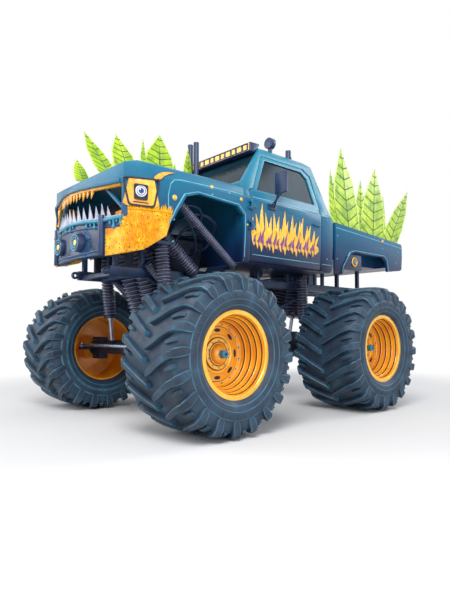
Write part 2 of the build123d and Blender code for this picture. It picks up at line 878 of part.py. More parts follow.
# Crest

# Hood crest leaves: root front x, root rear x and tip x as shares of the front's length, and the tip's
# height over the hood as a share of the crest's.
hood_leaf_shares = [
    (0.96, 0.86, 0.955, 0.125), (0.78, 0.63, 0.91, 0.64), (0.66, 0.46, 0.683, 0.757),
    (0.49, 0.43, 0.473, 0.824), (0.47, 0.2, 0.333, 1.0), (0.24, 0.19, 0.2, 0.507), (0.13, 0.045, 0.08, 0.912),
]
# Bed crest leaves, on the same terms from the bed's tail and over its rail.
bed_leaf_shares = [
    (0.99, 0.84, 1.0, 0.669), (0.93, 0.6, 0.86, 1.0), (0.68, 0.5, 0.58, 0.669),
    (0.6, 0.24, 0.36, 0.901), (0.3, 0.2, 0.23, 0.562), (0.3, 0.03, -0.2, 0.752),
]
bed_crest_y = 900
# Edge of a leaf: share of its height, half width there as a share of its root's.
leaf_edge_shares = [(0.0, 1.0), (0.3, 1.04), (0.62, 0.77)]
# The crest strips: ends as shares of the bed's length; top, leaf roots and bottom below the bed's rail.
strip_shares = [0.03, 0.96]
strip_top_drop = 10
leaf_root_drop = 60
strip_bottom_drop = 90


def leaf_points(front, rear, tip):
    """A pointed leaf: its two edges bulge and then run out to the tip."""
    half = (rear[0] - front[0]) / 2
    middle = ((front[0] + rear[0]) / 2, (front[1] + rear[1]) / 2)
    near, far = [], []
    for share, wide in leaf_edge_shares:
        x = middle[0] + (tip[0] - middle[0]) * share
        z = middle[1] + (tip[1] - middle[1]) * share
        near.append((x - half * wide, z))
        far.append((x + half * wide, z))
    return near + [tip] + far[::-1]


def hood_ridge():
    """The ridge of the hood from the nose to the firewall."""
    nose_low_share = front_side_shares[6][1]
    return spread([row for row in front_side_shares if row[1] >= nose_low_share], firewall_x, front_length,
                  sill_height, front_height)


def hood_line(x):
    """Height of the hood's ridge."""
    rows = sorted(hood_ridge())
    for (x0, z0), (x1, z1) in zip(rows, rows[1:]):
        if x0 <= x <= x1:
            return z0 + (z1 - z0) * (x - x0) / (x1 - x0)
    return rows[0][1]


def crest_hood():
    """Leaves on a strip that follows the hood's ridge."""
    half = crest_thickness / 2
    front_x = firewall_x + hood_leaf_shares[0][0] * front_length
    top = hood_ridge()
    lower = [(front_x, hood_line(front_x))] + [(x, z) for x, z in top if x < front_x]
    upper = [(x, z + crest_strip) for x, z in reversed(lower)]
    pieces = [side_prism(lower + upper, -half, half)]
    for a, b, tip, rise in hood_leaf_shares:
        x0, x1, xt = (firewall_x + share * front_length for share in (a, b, tip))
        point = (xt, hood_height + rise * hood_crest_height)
        pieces.append(side_prism(leaf_points((x0, hood_line(x0)), (x1, hood_line(x1)), point), -half, half))
    hood = [(nose_x + overrun, sill_height), (nose_x + overrun, top[0][1])]
    hood += [(x, z + seat_clearance) for x, z in top]
    hood += [(firewall_x - overrun, hood_height + seat_clearance), (firewall_x - overrun, sill_height)]
    return fuse(pieces) - side_prism(hood, -crest_thickness, crest_thickness)


def bed_rail_line(x):
    low_share = bed_side_shares[2][1]
    return sill_height + bed_height * (low_share + (1 - low_share) * (x - bed_rear_x) / bed_length)


def crest_bed():
    """A fan of leaves stands on a strip inside each bed rail."""
    low, high = bed_crest_y - crest_thickness / 2, bed_crest_y + crest_thickness / 2
    ends = [bed_rear_x + share * bed_length for share in strip_shares]
    strip = [(x, bed_rail_line(x) - strip_bottom_drop) for x in ends]
    strip += [(x, bed_rail_line(x) - strip_top_drop) for x in reversed(ends)]
    pieces = [side_prism(strip, low, body_half_width - bed_wall - seat_clearance)]
    for a, b, tip, rise in bed_leaf_shares:
        x0, x1, xt = (bed_rear_x + share * bed_length for share in (a, b, tip))
        roots = [(x, bed_rail_line(x) - leaf_root_drop) for x in (x0, x1)]
        point = (xt, sill_height + bed_height + rise * bed_crest_height)
        pieces.append(side_prism(leaf_points(*roots, point), low, high))
    gate_x = bed_rear_x + tailgate_thickness + running_clearance
    gate_room = block(bed_rear_x - bed_length, gate_x, 0, body_half_width, sill_height,
                      tailgate_top + running_clearance)
    wall_x = bed_front_x - bed_wall - seat_clearance
    wall_room = block(wall_x, cab_rear_x, 0, body_half_width, sill_height,
                      bed_rail_line(bed_front_x) + seat_clearance)
    return both_sides(fuse(pieces) - gate_room - wall_room)


# Roof and hood pieces

def roof_at(y):
    rows = [(s * body_half_width, belt_height + t * roof_rise) for s, t in roof_section_shares]
    for (y0, z0), (y1, z1) in zip(rows, rows[1:]):
        if y1 <= abs(y) <= y0:
            return z0 + (z1 - z0) * (y0 - abs(y)) / (y0 - y1)
    return rows[0][1]


def light_bar():
    """A visor bar that lies on the slope over the windshield."""
    foot = (firewall_x, sill_height + cowl_share * cab_height)
    head = (cab_rear_x + header_x_share * cab_length, sill_height + header_z_share * cab_height)
    slope = (foot[0] - head[0]) / (head[1] - foot[1])
    gap = 2 * seat_clearance
    low_x, low_z = head[0] + slope * bar_height, head[1] - bar_height
    points = [
        (low_x + gap, low_z), (low_x + bar_depth, low_z + bar_depth / 6),
        (low_x + bar_depth, head[1] + bar_depth / 4), (head[0] + gap, head[1] + bar_depth / 3),
        (head[0] + gap, head[1]),
    ]
    return side_prism(points, -bar_half_width, bar_half_width)


roof_lamp_y = 550
roof_lamp_shares = [0.49, 0.27]
roof_lamp_height = 170
beacon_radius = 52
beacon_dome_share = 0.8


def roof_seat(half_width):
    """Where a roof piece stands: its inner edge touches the sloping roof first."""
    return roof_at(roof_lamp_y - half_width) + seat_clearance


def roof_lamps():
    """A round lamp on a post and a domed beacon on each side of the roof."""
    pieces = []
    disc_x, beacon_x = (cab_rear_x + share * cab_length for share in roof_lamp_shares)
    for side in (-1, 1):
        y = side * roof_lamp_y
        foot = roof_seat(lamp_radius / 3)
        top = foot + roof_lamp_height
        post = block(disc_x - lamp_radius / 4, disc_x + lamp_radius / 4, y - lamp_radius / 3, y + lamp_radius / 3,
                     foot, top)
        disc = rod((disc_x - lamp_radius / 2, y, top), (disc_x + lamp_radius / 2, y, top), lamp_radius)
        pieces.append(fuse([post, disc]))
        foot = roof_seat(beacon_radius)
        base = rod((beacon_x, y, foot), (beacon_x, y, foot + beacon_radius), beacon_radius)
        dome = rod((beacon_x, y, foot), (beacon_x, y, foot + 3 * beacon_radius), beacon_dome_share * beacon_radius)
        pieces.append(fuse([base, dome]))
    return pieces


stack_offset = 55
stack_x = firewall_x + stack_offset
stack_y = 65
stack_wall = 5


def exhaust_stacks():
    pieces = []
    foot = hood_height + seat_clearance
    top = hood_height + stack_length
    flange_radius = stack_y - crest_thickness / 2 - seat_clearance
    for side in (-1, 1):
        y = side * stack_y
        pipe = rod((stack_x, y, foot), (stack_x, y, top), stack_radius)
        flange = rod((stack_x, y, foot), (stack_x, y, foot + stack_radius / 2), flange_radius)
        bore = rod((stack_x, y, top - 3 * stack_radius), (stack_x, y, top + overrun), stack_radius - stack_wall)
        pieces.append(fuse([pipe, flange]) - bore)
    return pieces


# Cab inside

cage_radius = 24
seat_width = 520
seat_cushion = 130
seat_offset = 630
seat_x = cab_rear_x + seat_offset
seat_length = 520
seat_back = 760
# Roll cage: its tube's place across at the waist and the top as shares of the half width, its heights as
# shares of the cab's, and its hoops as shares of the cab's length.
cage_y_shares = [0.86, 0.64]
cage_z_shares = [0.54, 0.9]
cage_x_shares = [0.62, 0.16]
# Dashboard: bottom and top as shares of the cab's height, half width as a share of the body's.
dash_z_shares = [0.38, 0.53]
dash_half_share = 0.815
column_radius = 20
wheel_ring_radius = 190


def roll_cage():
    """Two hoops and their side rails inside the cab, standing on the floor."""
    floor = sill_height + skin + seat_clearance
    low_y, high_y = (share * body_half_width for share in cage_y_shares)
    waist, top = (sill_height + share * cab_height for share in cage_z_shares)
    front_x, rear_x = (cab_rear_x + share * cab_length for share in cage_x_shares)
    front_foot = firewall_x - 3 * skin
    pieces = []
    for side in (-1, 1):
        a, b = side * low_y, side * high_y
        pieces.append(rod((front_foot, a, floor), (front_foot, a, waist), cage_radius))
        pieces.append(rod((front_foot, a, waist), (front_x, b, top), cage_radius))
        pieces.append(rod((front_x, b, top), (rear_x, b, top), cage_radius))
        pieces.append(rod((rear_x, b, top), (rear_x, a, waist), cage_radius))
        pieces.append(rod((rear_x, a, waist), (rear_x, a, floor), cage_radius))
    for x in (front_x, rear_x):
        pieces.append(rod((x, -high_y, top), (x, high_y, top), cage_radius))
    return fuse(pieces)


def driver_seat():
    floor = sill_height + skin + seat_clearance
    half = seat_width / 2
    points = [
        (seat_x - seat_length / 3, floor), (seat_x + seat_length, floor),
        (seat_x + seat_length, floor + 2 * seat_cushion), (seat_x + seat_cushion, floor + 5 * seat_cushion / 3),
        (seat_x - seat_cushion, floor + seat_back), (seat_x - 2 * seat_cushion, floor + seat_back),
        (seat_x - seat_length / 3, floor + seat_cushion),
    ]
    return side_prism(points, -half, half)


def dashboard():
    rear = firewall_x - skin - seat_clearance
    low, high = (sill_height + share * cab_height for share in dash_z_shares)
    depth = 6 * skin
    half = dash_half_share * body_half_width
    points = [(rear, low), (rear, high), (rear - depth / 2, high), (rear - depth, low + skin), (rear - depth / 2, low)]
    panel = side_prism(points, -half, half)
    foot = (rear - depth / 2, 0, low + 2 * skin)
    hub = (seat_x + 3 * seat_length / 2, 0, high)
    column = rod(foot, hub, column_radius)
    plane = Plane(origin=hub, z_dir=Vector(*hub) - Vector(*foot))
    ring = Cylinder(wheel_ring_radius, 2 * column_radius)
    rim = plane * (ring - Cylinder(wheel_ring_radius - column_radius, 3 * column_radius))
    spoke = plane * Box(2 * wheel_ring_radius - column_radius, 2 * column_radius, column_radius)
    return fuse([panel, column, rim, spoke])


# Engine and drive line

engine_offset = 90
engine_rise = 70
engine_rear_x = firewall_x + engine_offset
engine_bottom = rail_bottom + engine_rise
# Engine in front view, right half: share of half width, share of height.
engine_shares = [(0.5, 0.0), (0.7, 0.333), (1.0, 0.85), (0.6, 1.0)]


def engine():
    half = [(s * engine_width / 2, engine_bottom + t * engine_height) for s, t in engine_shares]
    points = half + [(-y, z) for y, z in reversed(half)]
    return cross_prism(points, engine_rear_x, engine_rear_x + engine_length)


gearbox_drop = 40
gearbox_height = 160
gearbox_top_share = 0.8
gearbox_tail = 60
case_half_length = 150
case_half_width = 100
case_rise = 80
case_shaft_rise = 75
case_bottom = belly_bottom + case_rise
gearbox_bottom = engine_bottom - gearbox_drop


def gearbox():
    half = gearbox_width / 2
    top = gearbox_bottom + gearbox_height
    points = [(-half, gearbox_bottom), (half, gearbox_bottom), (half * gearbox_top_share, top),
              (-half * gearbox_top_share, top)]
    return cross_prism(points, -gearbox_tail, engine_rear_x - seat_clearance)


def transfer_case():
    """The case hangs from the gearbox's tail down to the drive shafts."""
    return block(-case_half_length, case_half_length, -case_half_width, case_half_width, case_bottom,
                 gearbox_bottom - seat_clearance)


def drive_shafts():
    pieces = []
    for way in (-1, 1):
        start = (way * (case_half_length + seat_clearance), 0, case_bottom + case_shaft_rise)
        end = (way * (front_axle_x - diff_radius - 2 * shaft_radius), 0, axle_height + shaft_radius)
        way = (Vector(*end) - Vector(*start)).normalized() * (2 * shaft_radius)
        shaft = rod(tuple(Vector(*start) - way), tuple(Vector(*end) + way), shaft_radius)
        low, high = sorted((start[0], end[0]))
        pieces.append(shaft & block(low, high, -2 * shaft_radius, 2 * shaft_radius, 0, engine_bottom))
    return pieces


# Frame

# Cross members and body mounts: share of the rails' length from their rear end.
cross_shares = [0.024, 0.227, 0.936, 0.988]
# Body mounts: behind the rear tower as shares of the run from the frame's rear end, and in front of it as
# shares of the run to the firewall.
bed_mount_shares = [0.109, 0.542]
cab_mount_shares = [0.2346, 0.571]
post = 56
diagonal_radius = 28
tower_offset = 90
tower_x = front_axle_x + tower_offset
tower_plate = 40
tower_depth = 180
case_pad_x = 110
stub_inner_y = 200


def clevis(x0, x1, y, half_gap, z0, z1):
    """Two plates with a gap between them for a tang or a rod's end."""
    near, far = half_gap + seat_clearance, half_gap + seat_clearance + bracket_thickness
    return [block(x0, x1, y + near, y + far, z0, z1), block(x0, x1, y - far, y - near, z0, z1)]


def link_ends():
    """The two links of the left front corner: y, frame x and z, axle x and z."""
    stub_x = belly_half_length - belly_rail / 2
    lower = (lower_link_y, stub_x, belly_bottom - belly_rail, front_axle_x - 2 * axle_tube_radius,
             axle_height - axle_tube_radius / 2)
    upper = (upper_link_y, stub_x, belly_bottom + 2 * belly_rail, front_axle_x - 3 * axle_tube_radius / 2,
             axle_height + upper_link_rise)
    return [lower, upper]


def frame_rails():
    """Two upper rails with their tow eyes and two short belly rails between the uprights."""
    belly = belly_half_length - belly_rail
    pieces = []
    for side in (-1, 1):
        y = side * rail_y
        rail = block(frame_rear_x, frame_front_x, y - rail_width / 2, y + rail_width / 2, rail_bottom, rail_top)
        ends = [tow_eye(x, side) for x in tow_eye_places()]
        pieces.append(fuse([rail] + ends))
        pieces.append(block(-belly, belly, y - belly_rail / 2, y + belly_rail / 2, belly_bottom,
                            belly_bottom + belly_rail))
    return pieces


def tow_eye_places():
    return (frame_front_x + tow_eye_radius - overrun, frame_rear_x - tow_eye_radius + overrun)


def tow_eye(x, side):
    y = side * rail_y
    z = rail_bottom + rail_height / 2
    eye = cross_rod(x, z, tow_eye_radius, y - tow_eye_width / 2, y + tow_eye_width / 2)
    return eye - cross_rod(x, z, tow_eye_bore, y - tow_eye_width, y + tow_eye_width)


def frame_crossbars():
    """Cross members between the rails, the engine's bars and the bars under the transfer case."""
    half = rail_y - rail_width / 2
    pieces = []
    for share in cross_shares:
        x = frame_rear_x + share * (frame_front_x - frame_rear_x)
        pieces.append(block(x - post / 2, x + post / 2, -half, half, rail_bottom, rail_bottom + post))
    for x in (engine_rear_x + post, engine_rear_x + engine_length - post):
        pieces.append(block(x - post / 2, x + post / 2, -half, half, engine_bottom - post - seat_clearance,
                            engine_bottom - seat_clearance))
    half = rail_y - belly_rail / 2
    for x in (-case_pad_x, case_pad_x):
        bar = block(x - post / 2, x + post / 2, -half, half, belly_bottom, belly_bottom + belly_rail)
        pad = block(x - post / 2, x + post / 2, -case_half_width, case_half_width,
                    belly_bottom + belly_rail / 2, case_bottom - seat_clearance)
        pieces.append(fuse([bar, pad]))
    return pieces


def mount_places():
    """The x of each pair of body mounts, with one pair close behind the rear tower."""
    tower_rear = -tower_x - tower_depth
    places = [frame_rear_x + share * (tower_rear - frame_rear_x) for share in bed_mount_shares]
    places.append(tower_rear - post / 2 - running_clearance)
    places += [share * (firewall_x + tower_x) - tower_x for share in cab_mount_shares]
    return places


def body_mounts():
    """Posts from the rails to the cab and the bed, and the arms that carry the bumper."""
    arm_top = bumper_bottom + 3 * post
    limit = plan_prism(inset(taper_plan(), lip_thickness + seat_clearance), sill_height - post, hood_height)
    pieces = []
    for side in (-1, 1):
        y = side * rail_y
        for x in mount_places():
            roof = sill_height if x > bed_front_x else bed_floor_top - bed_floor
            pieces.append(block(x - post / 2, x + post / 2, y - post / 2, y + post / 2, rail_top,
                                roof - seat_clearance))
        arm = block(frame_front_x - 2 * post, nose_x, y - post / 2, y + post / 2, arm_top - post, arm_top)
        leg = block(frame_front_x - 2 * post, frame_front_x - post, y - post / 2, y + post / 2, rail_top, arm_top)
        pieces.append(fuse([arm & limit, leg]))
    return pieces


def frame_diagonals():
    """Tubes from the uprights' feet to the rails; the front ones carry the low bellows' lower plates."""
    pieces = []
    for way in (-1, 1):
        low = (way * (belly_half_length - belly_rail / 2), rail_y, belly_bottom + belly_rail / 2)
        high = (way * (tower_x + tower_depth / 2), rail_y, rail_bottom + rail_height / 4)
        room = block(way * belly_half_length, 2 * high[0], 0, 2 * rail_y, belly_bottom, rail_bottom)
        tube = rod(low, high, diagonal_radius) & room
        if way == 1:
            y, x0, z0, x1, z1, radius = low_row
            hanger = block(x1 - post, x1, rail_y - post / 2, rail_y + post / 2, z1 - post / 2, z1 + 2 * post)
            tube = fuse([tube, hanger, end_plate(low_row, -1, rail_y - post / 2, y + radius / 2)])
        pieces += both_sides(tube)
    return pieces


def link_brackets():
    """The four uprights under the rails, each with a stub that carries its two link brackets."""
    x0, x1 = belly_half_length - belly_rail, belly_half_length
    upright = block(x0, x1, rail_y - belly_rail / 2, rail_y + belly_rail / 2, belly_bottom, rail_bottom)
    stub = block(x0, x1, stub_inner_y, rail_y, belly_bottom, belly_bottom + belly_rail)
    (low_y, _, low_z, _, _), (high_y, _, high_z, _, _) = link_ends()
    half = link_tang_thickness / 2
    lower = clevis(x0, x1, low_y, half, low_z - link_tang / 2, belly_bottom + belly_rail / 2)
    upper = clevis(x0, x1, high_y, half, belly_bottom + belly_rail / 2, high_z + link_tang / 2)
    front = both_sides(fuse([upright, stub] + lower + upper))
    return front + [Rot(0, 0, 180) * piece for piece in front]


def end_plate(row, end, y_low, y_high):
    """A plate square to a slanted bellows, just past its upper (1) or lower (-1) end."""
    y, x0, z0, x1, z1, radius = row
    x, z = (x0, z0) if end == 1 else (x1, z1)
    along = (end * math.sin(tilt(row)), end * math.cos(tilt(row)))
    wide = plate_share * radius
    corners = []
    for out, across in ((0, -wide), (0, wide), (bracket_thickness, wide), (bracket_thickness, -wide)):
        reach = seat_clearance + out
        corners.append((x + reach * along[0] + across * along[1], z + reach * along[1] - across * along[0]))
    return side_prism(corners, y_low, y_high)


def front_tower():
    """A portal on the rails that the front bellows hang from, with the plates of the slanted ones."""
    front = tower_x + tower_depth
    portal = [block(tower_x, front, -tower_half_width, tower_half_width, tower_height, tower_height + tower_plate)]
    leg = block(front - post, front, rail_y - post / 2, rail_y + post / 2, rail_top, tower_height + overrun)
    y, x0, z0, x1, z1, radius = middle_row
    stand = block(tower_x, tower_x + post / 2, y - radius / 2, y + radius / 2, tower_height + overrun, z0)
    low_end = end_plate(low_row, 1, rail_y, low_row[0] + low_row[5] / 2)
    for piece in (leg, stand, end_plate(middle_row, 1, y - radius / 2, y + radius / 2), low_end):
        portal += both_sides(piece)
    plate = end_plate(middle_row, -1, rail_y + rail_width / 2, y + radius / 2)
    hose_x, hose_z = hose_row[3], hose_row[4]
    stand = block(hose_x - post / 2, hose_x + post / 2, rail_y - post / 2, rail_y + post / 2, rail_top,
                  hose_z - hose_stand_share * post)
    hose_stand = fuse([end_plate(hose_row, -1, rail_y - post / 2, hose_row[0] + hose_row[5] / 2), stand])
    return [fuse(portal)] + both_sides(plate) + both_sides(hose_stand)


def rear_tower():
    """Plates on posts that the rear bellows hang from."""
    pieces = []
    for row, half in ((rear_row, rear_row[0] + rear_row[5]), (rear_large_row, rail_y + post / 2)):
        x, z = row[1], row[2] + seat_clearance
        plate = block(x - post, x + post, -half, half, z, z + tower_plate / 2)
        leg = block(x - post, x + post, rail_y - post / 2, rail_y + post / 2, rail_top, z + overrun)
        pieces.append(fuse([plate] + both_sides(leg)))
    return pieces


def shock_towers():
    return front_tower() + rear_tower()


# Bellows, hoses and shocks

tower_half_width = 745
tower_height = rail_top + tower_rise + seat_clearance
shock_rod_radius = 28
shock_pad = 30
shock_pad_length = 75
shock_arm = 260
plate_share = 0.9
hose_stand_share = 0.7
arm_top = axle_height + upper_link_rise
pad_top = axle_height + axle_tube_radius + shock_pad
# Upright shocks: y as a share of the wheels', top and foot x before their axle as shares of its height,
# top over the rail as a share of the tower's rise, end of the bellows as a share of the way down.
large_shares = (0.126, 0.156, -0.256, 1.0, 0.738)
rear_large_shares = (0.126, -0.2143, 0.077, 1.08, 0.743)
outer_shares = (0.485, 0.1786, 0.048, 1.0, 0.728)
rear_outer_shares = (0.37, 0.2024, 0.124, 0.32, 0.679)
# Slanted bellows: y as a share of the wheels', then x before the front axle as a share of its height and
# z over the rail as a share of the tower's rise, for the top and the bottom.
middle_shares = (0.374, 0.0357, 1.64, -0.53, -0.04)
low_shares = (0.363, 0.2655, 0.212, -0.393, -1.792)
# Hoses: y as a share of the wheels', top as shares of the front's length and height, bottom x as a share
# of the front's length and z over the rail as a share of the tower's rise.
hose_shares = (0.646, 0.578, 0.673, 0.0565, 0.28)


def shock_row(shares, axle_x, foot_z, radius):
    """A bellows as y, top x, top z, bottom x, bottom z, radius."""
    across, top, foot, rise, end = shares
    x0, z0 = axle_x + top * axle_height, rail_top + rise * tower_rise
    x1 = axle_x + foot * axle_height
    return (across * wheel_y, x0, z0, x0 + end * (x1 - x0), z0 + end * (foot_z - z0), radius)


def slanted_row(shares, radius):
    across, x0, z0, x1, z1 = shares
    return (across * wheel_y, front_axle_x + x0 * axle_height, rail_top + z0 * tower_rise,
            front_axle_x + x1 * axle_height, rail_top + z1 * tower_rise, radius)


def make_hose_row():
    across, x0, z0, x1, z1 = hose_shares
    return (across * wheel_y, firewall_x + x0 * front_length, sill_height + z0 * front_height,
            firewall_x + x1 * front_length, rail_top + z1 * tower_rise, hose_radius)


large_row = shock_row(large_shares, front_axle_x, arm_top, large_bellows_radius)
rear_large_row = shock_row(rear_large_shares, rear_axle_x, arm_top, large_bellows_radius)
side_row = shock_row(outer_shares, front_axle_x, pad_top, outer_bellows_radius)
rear_row = shock_row(rear_outer_shares, rear_axle_x, pad_top, outer_bellows_radius)
middle_row = slanted_row(middle_shares, middle_bellows_radius)
low_row = slanted_row(low_shares, low_bellows_radius)
hose_row = make_hose_row()


def tilt(row):
    """The angle of a bellows from upright, forward at the top."""
    y, x0, z0, x1, z1, radius = row
    return math.atan2(x0 - x1, z0 - z1)


def upright_shock(row, bellows_end, foot_z):
    """Bellows under a level plate, over a rod that stands on the axle with a level foot."""
    y, x0, z0, x1, z1, radius = row
    slope = (x0 - x1) / (z0 - z1)

    def at(z):
        return (x1 + slope * (z - z1), y, z)

    tube = rod(at(z0 + radius), at(bellows_end), radius)
    body = fuse([tube, rod(at(bellows_end), at(foot_z - radius), shock_rod_radius)])
    room = block(min(x0, x1) - 3 * radius, max(x0, x1) + 3 * radius, y - 2 * radius, y + 2 * radius, foot_z, z0)
    return body & room


def bellows():
    pieces = []
    for row, foot_z in ((large_row, arm_top), (rear_large_row, arm_top), (side_row, pad_top), (rear_row, pad_top)):
        pieces += both_sides(upright_shock(row, row[4], foot_z))
    y, x0, z0, x1, z1, radius = low_row
    return pieces + both_sides(rod((x0, y, z0), (x1, y, z1), radius))


def hoses():
    pieces = []
    for y, x0, z0, x1, z1, radius in (middle_row, hose_row):
        pieces += both_sides(rod((x0, y, z0), (x1, y, z1), radius))
    return pieces


def suspension_links():
    pieces = []
    for y, fx, fz, ax, az in link_ends():
        half = link_tang_thickness / 2
        way = Vector(ax - fx, 0, az - fz).normalized() * link_shoulder
        body = rod((fx + way.X, y, fz + way.Z), (ax - way.X, y, az - way.Z), link_radius)
        ends = [block(x0, x1, y - half, y + half, z - link_tang / 2, z + link_tang / 2)
                for x0, x1, z in ((fx - link_tang / 2, fx + link_tang, fz), (ax - link_tang, ax + link_tang / 2, az))]
        front = fuse([body] + ends)
        for link in both_sides(front):
            pieces += [link, Rot(0, 0, 180) * link]
    return pieces


# Axles

pinion_radius = 84


def axle(outer_row):
    """An axle at the front, with its yokes, its link brackets and the seats of its shocks."""
    x, z = front_axle_x, axle_height
    back = kingpin_y - yoke_back
    pieces = [cross_rod(x, z, axle_tube_radius, -back, back),
              cross_rod(x, z, diff_radius, -diff_width / 2, diff_width / 2)]
    pinion_end = x - diff_radius - 2 * shaft_radius + seat_clearance
    pieces.append(rod((x, 0, z + shaft_radius), (pinion_end, 0, z + shaft_radius), pinion_radius))
    for side in (-1, 1):
        a, b = sorted((side * back, side * (back + yoke_thickness)))
        pieces.append(block(x - yoke_half_width, x + yoke_half_width, a, b, z - yoke_half_height, z + yoke_half_height))
        a, b = sorted((side * back, side * (kingpin_y + yoke_half_width)))
        for low in (z - yoke_half_height, z + yoke_half_height - yoke_thickness):
            pieces.append(block(x - yoke_half_width, x + yoke_half_width, a, b, low, low + yoke_thickness))
        for row, (link_y, fx, fz, ax, az) in enumerate(link_ends()):
            half = link_tang_thickness / 2
            z0, z1 = (az - link_tang / 2, z + axle_tube_radius / 2) if row == 0 else (z, az + link_tang / 2)
            pieces += clevis(ax - link_tang / 2, x, side * link_y, half, z0, z1)
    pieces += shock_seats(outer_row)
    body = fuse(pieces)
    for side in (-1, 1):
        bore = rod((x, side * kingpin_y, z - 2 * yoke_half_height), (x, side * kingpin_y, z + 2 * yoke_half_height),
                   kingpin_radius + pin_clearance)
        body = body - bore
    return body


def shock_seats(outer_row):
    """The arms that the large shocks stand on and the pads of the outer ones."""
    x, z = front_axle_x, axle_height
    y, r = large_row[0], shock_rod_radius
    top = z + upper_link_rise - seat_clearance
    left = [block(x - shock_arm, x, y - r, y + r, top - 2 * r, top), block(x - 2 * r, x, y - r, y + r, z, top)]
    y = outer_row[0]
    left.append(block(x - 2 * shock_pad_length, x + shock_pad_length, y - 2 * r, y + 2 * r, z,
                      z + axle_tube_radius + shock_pad - seat_clearance))
    pieces = []
    for piece in left:
        pieces += both_sides(piece)
    return pieces


def front_axle():
    return axle(side_row)


def rear_axle():
    return Rot(0, 0, 180) * axle(rear_row)


def knuckle_left_front():
    x, z = front_axle_x, axle_height
    half = yoke_half_height - yoke_thickness - running_clearance
    y = kingpin_y
    core = block(x - knuckle_half_width, x + knuckle_half_width, y - knuckle_half_width, y + knuckle_half_width,
                 z - half, z + half)
    pin = rod((x, y, z - yoke_half_height), (x, y, z + yoke_half_height), kingpin_radius)
    flange = cross_rod(x, z, spindle_flange_radius, y + knuckle_half_width - 1, y + knuckle_half_width + spindle_flange)
    spindle = cross_rod(x, z, spindle_radius, y + knuckle_half_width, spindle_end_y())
    arm = block(x, x + steering_arm, y - steering_arm_width / 2, y + steering_arm_width / 2,
                z - steering_arm_height / 2, z + steering_arm_height / 2)
    boss = rod((x + steering_arm, y, z - steering_arm_height / 2), (x + steering_arm, y, z + steering_arm_height / 2),
               rod_eye_radius)
    top = z + steering_arm_height / 2 + rod_eye_height + overrun
    stud = rod((x + steering_arm, y, z), (x + steering_arm, y, top), rod_pin_radius)
    return fuse([core, pin, flange, spindle, arm, boss, stud])


def spindle_end_y():
    return wheel_y + hub_face - 2 * disc_thickness


def tie_rod_front():
    """The rod between the two steering arms; its right eye has a looser bore."""
    x = front_axle_x + steering_arm
    low = axle_height + steering_arm_height / 2 + seat_clearance
    high = low + rod_eye_height
    middle = (low + high) / 2
    pieces = [rod((x, -kingpin_y, middle), (x, kingpin_y, middle), tie_rod_radius)]
    for side in (-1, 1):
        pieces.append(rod((x, side * kingpin_y, low), (x, side * kingpin_y, high), rod_eye_radius))
    body = fuse(pieces)
    for side, slack in ((1, pin_clearance), (-1, pivot_slack)):
        body = body - rod((x, side * kingpin_y, low - overrun), (x, side * kingpin_y, high + overrun), rod_pin_radius + slack)
    return body


# Wheels, modelled about the Y axis with the outside at +Y

# Tread lug in the plane of the tread: share of the half width across, share of the pitch round the tyre.
lug_shares = [(0.04, -0.62), (0.58, 0.0), (1.0, 0.3)]


def tyre_carcass():
    half = tyre_width / 2
    tread = tyre_diameter / 2 - lug_height
    bead = bead_diameter / 2
    profile = [
        (bead, -half + shoulder_drop), (bead + sidewall_height, -half), (tread - shoulder_drop, -half),
        (tread, -tread_half_width), (tread, tread_half_width), (tread - shoulder_drop, half),
        (bead + sidewall_height, half), (bead, half - shoulder_drop),
    ]
    return faceted_ring(profile, tyre_facets)


# Root of a lug under the tread as a share of the shoulder's drop, and the left row's shift as a share of a step.
lug_root_share = 1.6
lug_stagger_share = 0.25


def tyre_lug(side):
    """One bent bar of the tread, drawn on a flat plane and raised from inside the carcass."""
    pitch = math.pi * tyre_diameter / lugs_per_side
    half = tyre_width / 2
    line = [(side * across * half, round_share * pitch) for across, round_share in lug_shares]
    back = [(y, t - lug_width / 2) for y, t in line]
    front = [(y, t + lug_width / 2) for y, t in line]
    outline = back + front[::-1]
    reach = max(abs(t) for y, t in outline)
    top = math.sqrt((tyre_diameter / 2) ** 2 - reach ** 2)
    root = tyre_diameter / 2 - lug_height - lug_root_share * shoulder_drop
    plane = Plane(origin=(0, 0, root), x_dir=(0, 1, 0), z_dir=(0, 0, 1))
    face = plane * Polygon(*outline, align=None)
    return extrude(face, amount=top - root, dir=(0, 0, 1))


def tyre():
    step = 360 / lugs_per_side
    lugs = []
    for side in (-1, 1):
        lug = tyre_lug(side)
        for k in range(lugs_per_side):
            lugs.append(Rot(0, step * (k + lug_stagger_share * (1 - side)), 0) * lug)
    body = tyre_carcass().fuse(*lugs).clean()
    return body


def rim():
    """A deep dished rim with its disc, hub, dome and centre nut."""
    half = tyre_width / 2 - shoulder_drop
    outer = bead_diameter / 2 - seat_clearance
    inner = outer - rim_wall
    face = disc_offset
    profile = [
        (outer, -half), (outer, half), (outer + rim_lip / 3, half + rim_lip / 3), (inner, half + rim_lip / 3),
        (bowl_radius + rim_lip, face + disc_thickness), (hub_radius, face + disc_thickness), (hub_radius, face),
        (bowl_radius, face), (inner, face - rim_lip), (inner, -half),
    ]
    body = faceted_ring(profile, tyre_facets)
    hub = cross_rod(0, 0, hub_radius, -hub_inner + disc_offset, hub_face)
    dome = cross_rod(0, 0, dome_radius, hub_face, hub_face + dome_height)
    nut = extrude(Plane.XZ.offset(-hub_face - dome_height) * RegularPolygon(nut_radius, 6), amount=nut_height,
                  dir=(0, 1, 0))
    body = fuse([body, hub, dome, nut])
    bore = cross_rod(0, 0, spindle_radius + pin_clearance, -hub_inner, spindle_end_y() - wheel_y + overrun)
    return body - bore


# Mirrors and the handles of the doors

mirror_setback = 382
mirror_reach = 170
mirror_drop = 20
mirror_height = 270
mirror_foot_share = 0.81
mirror_half_width = 95
mirror_thickness = 34
mirror_arm_radius = 11


